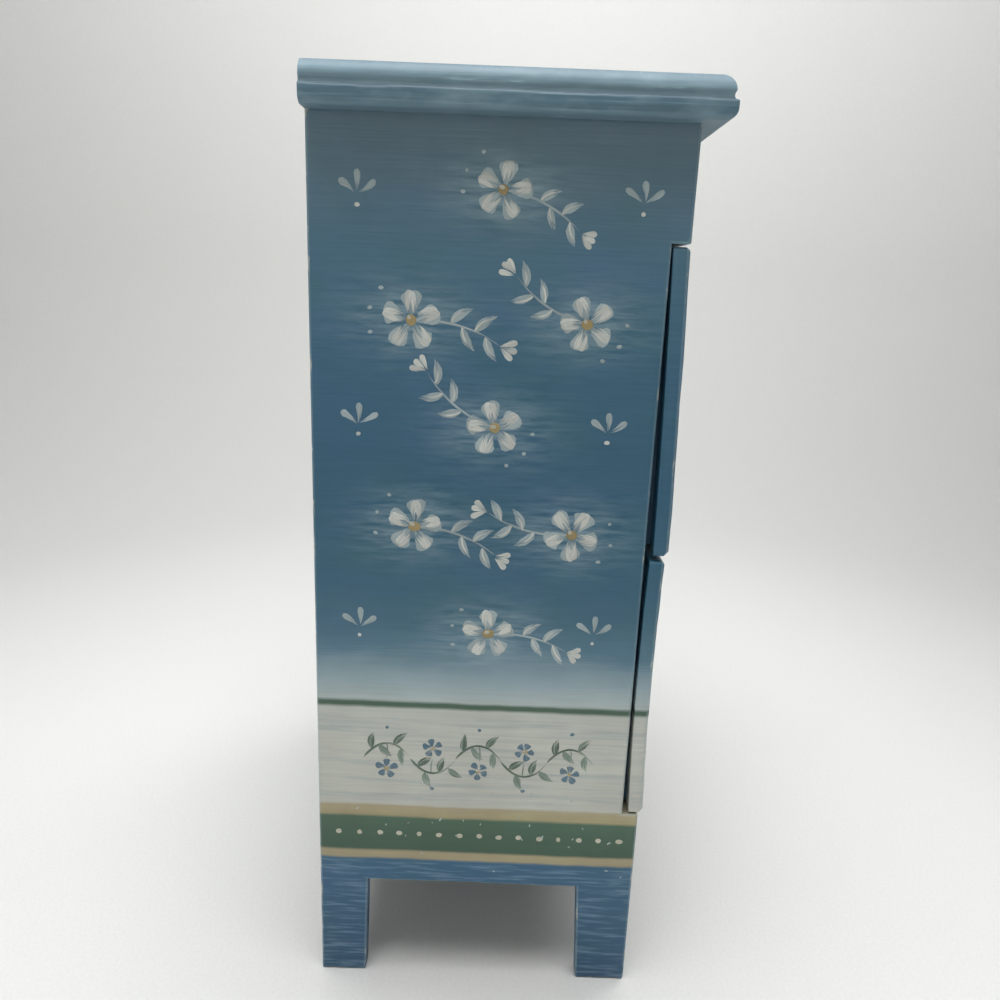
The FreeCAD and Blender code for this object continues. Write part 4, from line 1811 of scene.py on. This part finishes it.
@dataclass
class MouldedTop:
    """The top board: a lip, a quirk and a roundover worked on the front and both ends, square at the rear."""

    node: str = "top_board"
    lip_height: float = 6.1
    lip_bottom_radius: float = 3.0
    lip_top_radius: float = 0.8
    under_flat: float = 0.8
    ledge_width: float = 0.9
    quirk_height: float = 2.3
    quirk_depth: float = 0.5
    rear_softening: float = 0.6
    rear_lines: tuple[float, ...] = (0.0, 0.12, 0.3, 2.0)
    pitch: float = 1.5
    lip_steps: int = 6
    wall_steps: int = 4
    round_steps: int = 14
    most_wear: float = 0.3
    wear_band: float = 4.0
    far_from_edge: float = 20.0
    seed: int = 41

    def __post_init__(self) -> None:
        """Reads the board's box from the frame."""
        self.box = Extent.of(self.node)
        self.half, self.front, self.thick = self.box.size[0] / 2, self.box.size[1], self.box.size[2]
        self.ripple = Unevenness(self.seed, 0.1, 8.0, 60.0)
        self.rubbing = Unevenness(self.seed + 1, 0.12, 4.0, 30.0)
        self.wide = grid_lines([0.0, 2 * self.half], self.pitch) / (2 * self.half)
        rear_lines = [*self.rear_lines, self.rear_softening, self.front]
        self.deep = grid_lines(rear_lines, self.pitch) / self.front

    def profile(self) -> tuple[Array, Array]:
        """Draws the moulding from the underside up to the top face.

        Returns:
            Inset and height of each point, and its distance from the nearest rubbed corner.
        """
        quirk_top = self.lip_height + self.quirk_height
        radius = self.thick - quirk_top
        shoulder = self.lip_height - self.lip_top_radius
        sink = self.quirk_depth
        chord = self.quirk_height / 2
        hollow = (chord ** 2 + sink ** 2) / (2 * sink)
        half = math.degrees(math.asin(chord / hollow))
        points = [(self.lip_bottom_radius + self.under_flat, 0.0)]
        points += arc((self.lip_bottom_radius,) * 2, self.lip_bottom_radius, 270, 180, self.lip_steps)
        points += [(0.0, z) for z in np.linspace(self.lip_bottom_radius, shoulder, self.wall_steps + 1)[1:-1]]
        corner = len(points) + 1
        points += arc((self.lip_top_radius, shoulder), self.lip_top_radius, 180, 90, 4)
        quirk = (self.ledge_width + sink - hollow, self.lip_height + chord)
        points += arc(quirk, hollow, -half, half, self.lip_steps)
        brow = len(points)
        points += arc((self.ledge_width + radius, quirk_top), radius, 180, 90, self.round_steps)[1:]
        outline = np.array(points)
        along = np.append(0, np.cumsum(np.linalg.norm(np.diff(outline, axis=0), axis=1)))
        lip = 1 + self.lip_steps // 2
        rubbed = np.minimum(abs(along - along[corner + 1]), abs(along - along[brow]) + 0.25)
        return outline, np.minimum(rubbed, abs(along - along[lip]) + 0.3)

    def path(self, inset: float) -> Array:
        """Walks round the front and both ends at an inset, from one rear corner to the other.

        Args:
            inset: Distance in from the board's box.

        Returns:
            Places across the chest and out from its rear, for each point.
        """
        reach, width = self.front - inset, self.half - inset
        sides, inner = len(self.deep), self.wide[1:-1]
        left = np.stack((np.full(sides, -width), self.deep * reach), 1)
        run = np.stack((-width + 2 * width * inner, np.full(len(inner), reach)), 1)
        right = np.stack((np.full(sides, width), self.deep[::-1] * reach), 1)
        return np.concatenate((left, run, right))

    def cap(self, inset: float, height: float, base: int, total: int) -> tuple[Array, Array]:
        """Fills the underside or the top face.

        Args:
            inset: Inset of its rim.
            height: Its height.
            base: Number of the rim's first vertex.
            total: Number of its own first vertex.

        Returns:
            Vertex numbers of the whole grid, and its own new points.
        """
        reach, width = self.front - inset, self.half - inset
        sides, inner = len(self.deep), len(self.wide) - 2
        table = np.full((inner + 2, sides), -1)
        table[0] = base + np.arange(sides)
        table[1:-1, -1] = base + sides + np.arange(inner)
        table[-1] = base + 2 * sides + inner - 1 - np.arange(sides)
        fresh = inner * (sides - 1)
        table[1:-1, :-1] = total + np.arange(fresh).reshape(inner, sides - 1)
        x = -width + 2 * width * self.wide[1:-1, None] + np.zeros(sides - 1)
        y = self.deep[None, :-1] * reach + np.zeros((inner, 1))
        return table, np.column_stack((x.ravel(), y.ravel(), np.full(fresh, height)))

    def board(self) -> tuple[Array, Array, list]:
        """Meshes the sharp new board.

        Returns:
            Points, distance of each from a rubbed corner, and faces that look outward.
        """
        outline, rubbed = self.profile()
        paths = [self.path(inset) for inset, _ in outline]
        count = len(paths[0])
        points = [np.column_stack((path, np.full(count, height)))
                  for path, (_, height) in zip(paths, outline)]
        edges = [np.repeat(rubbed, count)]
        total = count * len(outline)
        grid = np.arange(total).reshape(len(outline), count)
        wall = np.stack((grid[:-1, :-1], grid[1:, :-1], grid[1:, 1:], grid[:-1, 1:]), -1)
        faces, rears = wall.reshape(-1, 4).tolist(), []
        for ring in (0, len(outline) - 1):
            table, fresh = self.cap(*outline[ring], ring * count, total)
            points.append(fresh)
            edges.append(np.full(len(fresh), self.far_from_edge))
            faces += tiles(table)[:, ::1 if ring else -1].tolist()
            rears.append(table[:, 0])
            total += len(fresh)
        faces += tiles(np.stack(rears, 1)).tolist()
        rings = np.arange(len(outline)) * count
        faces += [rings.tolist()[::-1], (rings + count - 1).tolist()]
        return np.concatenate(points), np.concatenate(edges), faces

    def build(self) -> None:
        """Makes the top board, with eased rear edges, rubbed corners and uneven faces."""
        points, edge, faces = self.board()
        x, depth, height = points.T
        softened = self.rear_softening - np.clip(self.rear_softening - depth, 0, None)
        ceiling = self.thick - self.rear_softening + np.sqrt(
            np.clip(self.rear_softening ** 2 - (self.rear_softening - softened) ** 2, 0, None))
        height = np.minimum(height, ceiling)
        edge = np.minimum(edge, 0.2 + depth + np.where(height > self.thick / 2, 0, 9))
        worn = np.clip(self.rubbing.at(x + height * 3, depth), 0, self.most_wear)
        worn = worn * np.exp(-edge * 1.6)
        toward = np.clip(1 - worn * 0.01, 0, 1)
        height = height - worn * (height > 1) + self.ripple.at(x, depth) * (height > self.thick - 0.01) * 0.6
        x = x * toward - np.sign(x) * worn * (abs(x) > self.half - self.wear_band)
        depth = depth - worn * (depth > self.front - self.wear_band)
        placed = np.column_stack(
            (x, self.box.high[1] - depth, self.box.low[2] + np.clip(height, 0, self.thick)))
        paint = TopPaint().material()
        piece = mesh_piece("top_board_painted", placed, faces, paint, {"edge": edge}, sharp=50.0)
        settle(piece, "carcass", "painted_top", self.node)


@dataclass
class TurnedKnob:
    """A knob turned on a lathe: a flared foot, a coved neck, a full rim and a shallow dome."""

    name: str
    body: str
    front: DrawerFront
    head_radius: float = 10.0
    head_distance: float = 10.5
    rim_radius: float = 3.2
    length: float = 17.0
    neck_radius: float = 4.2
    base_radius: float = 5.5
    base_easing: float = 0.15
    seat_depth: float = 0.3
    rub_line: float = 1.4
    rub_width: float = 0.2
    segments: int = 96
    ripple_turn: float = 5.0
    seed: int = 7

    def profile(self) -> Array:
        """Draws the knob from its seat to the middle of its dome.

        Returns:
            Radius and distance from the seat of each point.
        """
        rim_centre = self.head_radius - self.rim_radius
        rim_reach = self.length - self.rim_radius
        dome_centre = (rim_reach ** 2 - rim_centre ** 2 - self.head_distance ** 2) / (
            2 * (rim_reach - self.head_distance))
        dome_radius = self.length - dome_centre
        rim_foot = self.head_distance - self.rim_radius
        cove = rim_centre - self.neck_radius
        neck = rim_foot - cove
        flare = self.base_radius - self.neck_radius
        flare_radius = (flare ** 2 + neck ** 2) / (2 * flare)
        flare_turn = math.degrees(math.asin(neck / flare_radius))
        meet = math.degrees(math.atan2(self.head_distance - dome_centre, rim_centre))
        points = [(0.0, 0.0), (self.base_radius / 2, 0.0), (self.base_radius - self.base_easing, 0.0)]
        points += arc((self.neck_radius + flare_radius, neck), flare_radius, 180 + flare_turn, 180, 7)
        points += arc((rim_centre, neck), cove, 180, 90, 8)[1:]
        points += arc((rim_centre, self.head_distance), self.rim_radius, -90, meet, 18)[1:]
        points += arc((0.0, dome_centre), dome_radius, meet, 90, 14)[1:-1]
        return np.array(points)

    def build(self) -> None:
        """Turns the knob and sets it square on the middle of its front."""
        outline = self.profile()
        turns = np.linspace(0, WHOLE, self.segments, endpoint=False)
        ripple = Unevenness(self.seed, 0.05, 3.0, 14.0).at(turns[None, :] * self.ripple_turn, outline[1:, 1:])
        radius = outline[1:, :1] + ripple * (outline[1:, :1] > self.neck_radius)
        distance = np.broadcast_to(outline[1:, 1:], radius.shape)
        ring_points = np.stack((radius * np.cos(turns), distance, radius * np.sin(turns)), -1).reshape(-1, 3)
        points = np.concatenate((ring_points, [(0.0, 0.0, 0.0), (0.0, self.length, 0.0)]))
        rings = np.arange(len(ring_points)).reshape(-1, self.segments)
        rings = np.column_stack((rings, rings[:, 0]))
        foot, tip = len(ring_points), len(ring_points) + 1
        faces = tiles(rings).tolist()
        faces += [[a, b, foot] for a, b in zip(rings[0, :-1].tolist(), rings[0, 1:].tolist())]
        faces += [[b, a, tip] for a, b in zip(rings[-1, :-1].tolist(), rings[-1, 1:].tolist())]
        level = self.front.box.middle[2]
        lean = self.front.lean()
        out = self.seat_depth - points[:, 1]
        y = self.front.outer_face(level) + out * math.cos(lean) - points[:, 2] * math.sin(lean)
        z = level + out * math.sin(lean) + points[:, 2] * math.cos(lean)
        edge = abs(points[:, 1] - self.head_distance - self.rub_line) + self.rub_width
        placed = np.column_stack((points[:, 0], y, z))
        piece = mesh_piece(self.name + "_painted", placed, faces, KNOB_PAINT, {"edge": edge})
        settle(piece, self.body, "painted_knob", self.name)


def finish_node(node: str, material: bpy.types.Material, softening: float = 0.0) -> None:
    """Gives a CAD node its finish and eases its sharp edges.

    Args:
        node: The node's name.
        material: Its finish.
        softening: Width of the eased edges in millimetres, or none.
    """
    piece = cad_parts[node]
    for place in piece.material_slots:
        place.material = material
    if softening:
        weld = piece.modifiers.new("joined_edges", "WELD")
        weld.merge_threshold = JOINED_WITHIN * MM
        eased = piece.modifiers.new("eased_edges", "BEVEL")
        eased.width = softening * MM
        eased.segments = 2
        eased.limit_method = "ANGLE"
        eased.angle_limit = math.radians(EASED_FROM)
    log.info("%s finished with %s", node, material.name)


@dataclass
class Drawer:
    """One drawer: its painted front and knob, and the finish of its box and fixings."""

    name: str
    front_kind: type[DrawerFront]
    warp: Warp
    seed: int
    box_softening: float = 0.5
    ply_softening: float = 0.2
    paint_lap: float = 2.5

    def build(self) -> None:
        """Makes the front and the knob and finishes the box."""
        body = self.name + "_drawer"
        front = self.front_kind(body + "_front_painted", body, "painted_front", self.seed, warp=self.warp)
        front.build()
        TurnedKnob(body + "_knob", body, front, seed=self.seed + 3).build()
        # The box sides' front ends take the dark coat, partly painted shade in the gap beside the front.
        side = PINE.material(Grain.ALONG_Y, lap_front=front.rail_front + self.paint_lap)
        finish_node(body + "_left_side", side, self.box_softening)
        finish_node(body + "_right_side", side, self.box_softening)
        finish_node(body + "_back", PINE.material(Grain.ALONG_X), self.box_softening)
        finish_node(body + "_bottom", PLYWOOD, self.ply_softening)
        finish_node(body + "_brads", STEEL)
        finish_node(body + "_knob_screw", STEEL)


@dataclass
class Carcass:
    """The chest without its drawers."""

    shelf_softening: float = 0.4
    ply_softening: float = 0.2
    paint_lap: float = 2.0

    def build(self) -> None:
        """Makes the painted boards and finishes the rest."""
        SidePanel("side_panel_left_painted", "carcass", "painted_side", 11, side=Side.LEFT).build()
        SidePanel("side_panel_right_painted", "carcass", "painted_side", 12, side=Side.RIGHT).build()
        Frieze("frieze_board_painted", "carcass", "painted_front", 13).build()
        Apron("front_apron_painted", "carcass", "painted_front", 14).build()
        MouldedTop().build()
        for shelf in ("upper_shelf", "middle_shelf"):
            finish_node(shelf, PINE.material(Grain.ALONG_X), self.shelf_softening)
        # The underside of the bottom board takes the dark coat, partly painted shade under the chest.
        underside = float(Extent.of("bottom_board").low[2]) + self.paint_lap
        finish_node("bottom_board", PINE.material(Grain.ALONG_X, lap_low=underside), self.shelf_softening)
        finish_node("back_panel", WashedPly().material(), self.ply_softening)
        finish_node("back_panel_brads", STEEL)
        finish_node("top_board_dowels", BeechDowel().material())


@dataclass(frozen=True)
class MattPaper:
    """Heavy uncoated paper: pale and matt, with a faint tooth."""

    white: str = "#dadad8"
    tooth_tone: str = "#d5d5d3"
    tooth: float = 1.5

    def material(self) -> bpy.types.Material:
        """Builds the paper of the sweep.

        Returns:
            The material.
        """
        palette = Palette("matt_paper")
        tooth = palette.noise((self.tooth,) * 3)
        colour = palette.mix(palette.between(tooth, 0.3, 0.7), self.white, self.tooth_tone)
        return palette.finish(colour, 0.9, palette.relief(tooth, 0.02))


@dataclass(frozen=True)
class Softbox:
    """One soft square lamp: places and side in millimetres, power in watts, beam in degrees."""

    name: str
    place: tuple[float, float, float]
    target: tuple[float, float, float]
    size: float
    power: float
    spread: float

    def hang(self) -> None:
        """Hangs the lamp and points it at its target."""
        light = bpy.data.lights.new(self.name, "AREA")
        light.energy = self.power
        light.size = self.size * MM
        light.spread = math.radians(self.spread)
        lamp = bpy.data.objects.new(self.name, light)
        lamp.location = Vector(self.place) * MM
        lamp.rotation_euler = (Vector(self.target) - Vector(self.place)).to_track_quat("-Z", "Y").to_euler()
        bpy.context.scene.collection.objects.link(lamp)


@dataclass
class Studio:
    """A pale paper sweep, three soft lamps and the camera."""

    floor_radius: float = 620.0
    bend_radius: float = 330.0
    wall_height: float = 1500.0
    rings: int = 8
    segments: int = 128
    room_light: str = "#eef3f9"
    room_strength: float = 0.11
    softboxes: tuple[Softbox, ...] = (
        Softbox("overhead_softbox", (-170.0, 90.0, 1300.0), (-220.0, 70.0, 0.0), 900.0, 5.7, 88.0),
        Softbox("window_softbox", (420.0, -560.0, 980.0), (0.0, 0.0, 190.0), 500.0, 0.7, 90.0),
        Softbox("backdrop_softbox", (-420.0, -40.0, 1450.0), (950.0, -40.0, 800.0), 700.0, 6.3, 84.0))
    eye: tuple[float, float, float] = (-396.8, 5.25, 287.9)
    pitch: float = 14.78
    yaw: float = 0.03
    roll: float = 2.26
    focal_share: float = 0.810
    sensor: float = 36.0

    def sweep(self) -> None:
        """Makes the floor that bends up into a round wall."""
        edge = self.floor_radius + self.bend_radius
        outline = [(r, 0.0) for r in np.linspace(80.0, self.floor_radius, self.rings)]
        outline += arc((self.floor_radius, self.bend_radius), self.bend_radius, -90, 0, 18)[1:]
        outline += [(edge, z) for z in np.linspace(self.bend_radius, self.wall_height, self.rings)[1:]]
        radius, height = np.array(outline).T[:, :, None]
        turns = np.linspace(0, WHOLE, self.segments, endpoint=False)
        rings = np.stack((radius * np.cos(turns), radius * np.sin(turns),
                          np.broadcast_to(height, (len(outline), self.segments))), -1).reshape(-1, 3)
        points = np.concatenate((rings, [(0.0, 0.0, 0.0)]))
        index = np.arange(len(rings)).reshape(-1, self.segments)
        after = np.roll(index, -1, axis=1)
        faces = np.stack((index[:-1], after[:-1], after[1:], index[1:]), -1).reshape(-1, 4).tolist()
        faces += [[a, b, len(rings)] for a, b in zip(after[0].tolist(), index[0].tolist())]
        mesh = bpy.data.meshes.new("paper_sweep")
        mesh.from_pydata((points * MM).tolist(), [], faces)
        mesh.polygons.foreach_set("use_smooth", np.ones(len(mesh.polygons), bool))
        mesh.materials.append(MattPaper().material())
        piece = bpy.data.objects.new("paper_sweep", mesh)
        bpy.context.scene.collection.objects.link(piece)

    def camera(self) -> None:
        """Sets the camera at the height and angle of the photograph."""
        pitch, yaw, roll = (math.radians(a) for a in (self.pitch, self.yaw, self.roll))
        ahead = Vector((math.cos(pitch) * math.cos(yaw), math.cos(pitch) * math.sin(yaw), -math.sin(pitch)))
        level = ahead.cross(Vector((0, 0, 1))).normalized()
        up = level.cross(ahead)
        right = level * math.cos(roll) + up * math.sin(roll)
        above = up * math.cos(roll) - level * math.sin(roll)
        lens = bpy.data.cameras.new("camera")
        lens.sensor_width = self.sensor
        lens.lens = self.focal_share * self.sensor
        lens.clip_start = 10.0 * MM
        lens.clip_end = 20000.0 * MM
        eye = bpy.data.objects.new("camera", lens)
        turn = Matrix((right, above, -ahead)).transposed().to_4x4()
        eye.matrix_world = Matrix.Translation(Vector(self.eye) * MM) @ turn
        bpy.context.scene.collection.objects.link(eye)
        bpy.context.scene.camera = eye

    def build(self) -> None:
        """Lays the sweep, hangs the lamps and sets the camera."""
        scene = bpy.context.scene
        scene.view_settings.view_transform = "Standard"
        world = bpy.data.worlds.new("soft_room")
        world.use_nodes = True
        colour, strength = world.node_tree.nodes["Background"].inputs[:2]
        colour.default_value = linear(self.room_light)
        strength.default_value = self.room_strength
        scene.world = world
        self.sweep()
        for softbox in self.softboxes:
            softbox.hang()
        self.camera()


PINE = PlanedPine()
PLYWOOD = BirchPlywood().material()
STEEL = ZincSteel().material()
BOARD_PAINT = BrushedAcrylic().material()
STROKE_PAINT = DecoratingPaint().material()
KNOB_PAINT = KnobPaint().material()


def main() -> None:
    """Builds the chest and its studio in order."""
    logging.basicConfig(level=logging.INFO, format="%(name)s: %(message)s")
    Studio().build()
    Carcass().build()
    Drawer("lower", LowerFront, Warp(bottom=2.6, middle=1.4, top=2.1), seed=21).build()
    Drawer("upper", UpperFront, Warp(bottom=3.1, middle=2.2, top=0.6), seed=22).build()


if __name__ == "__main__":
    main()
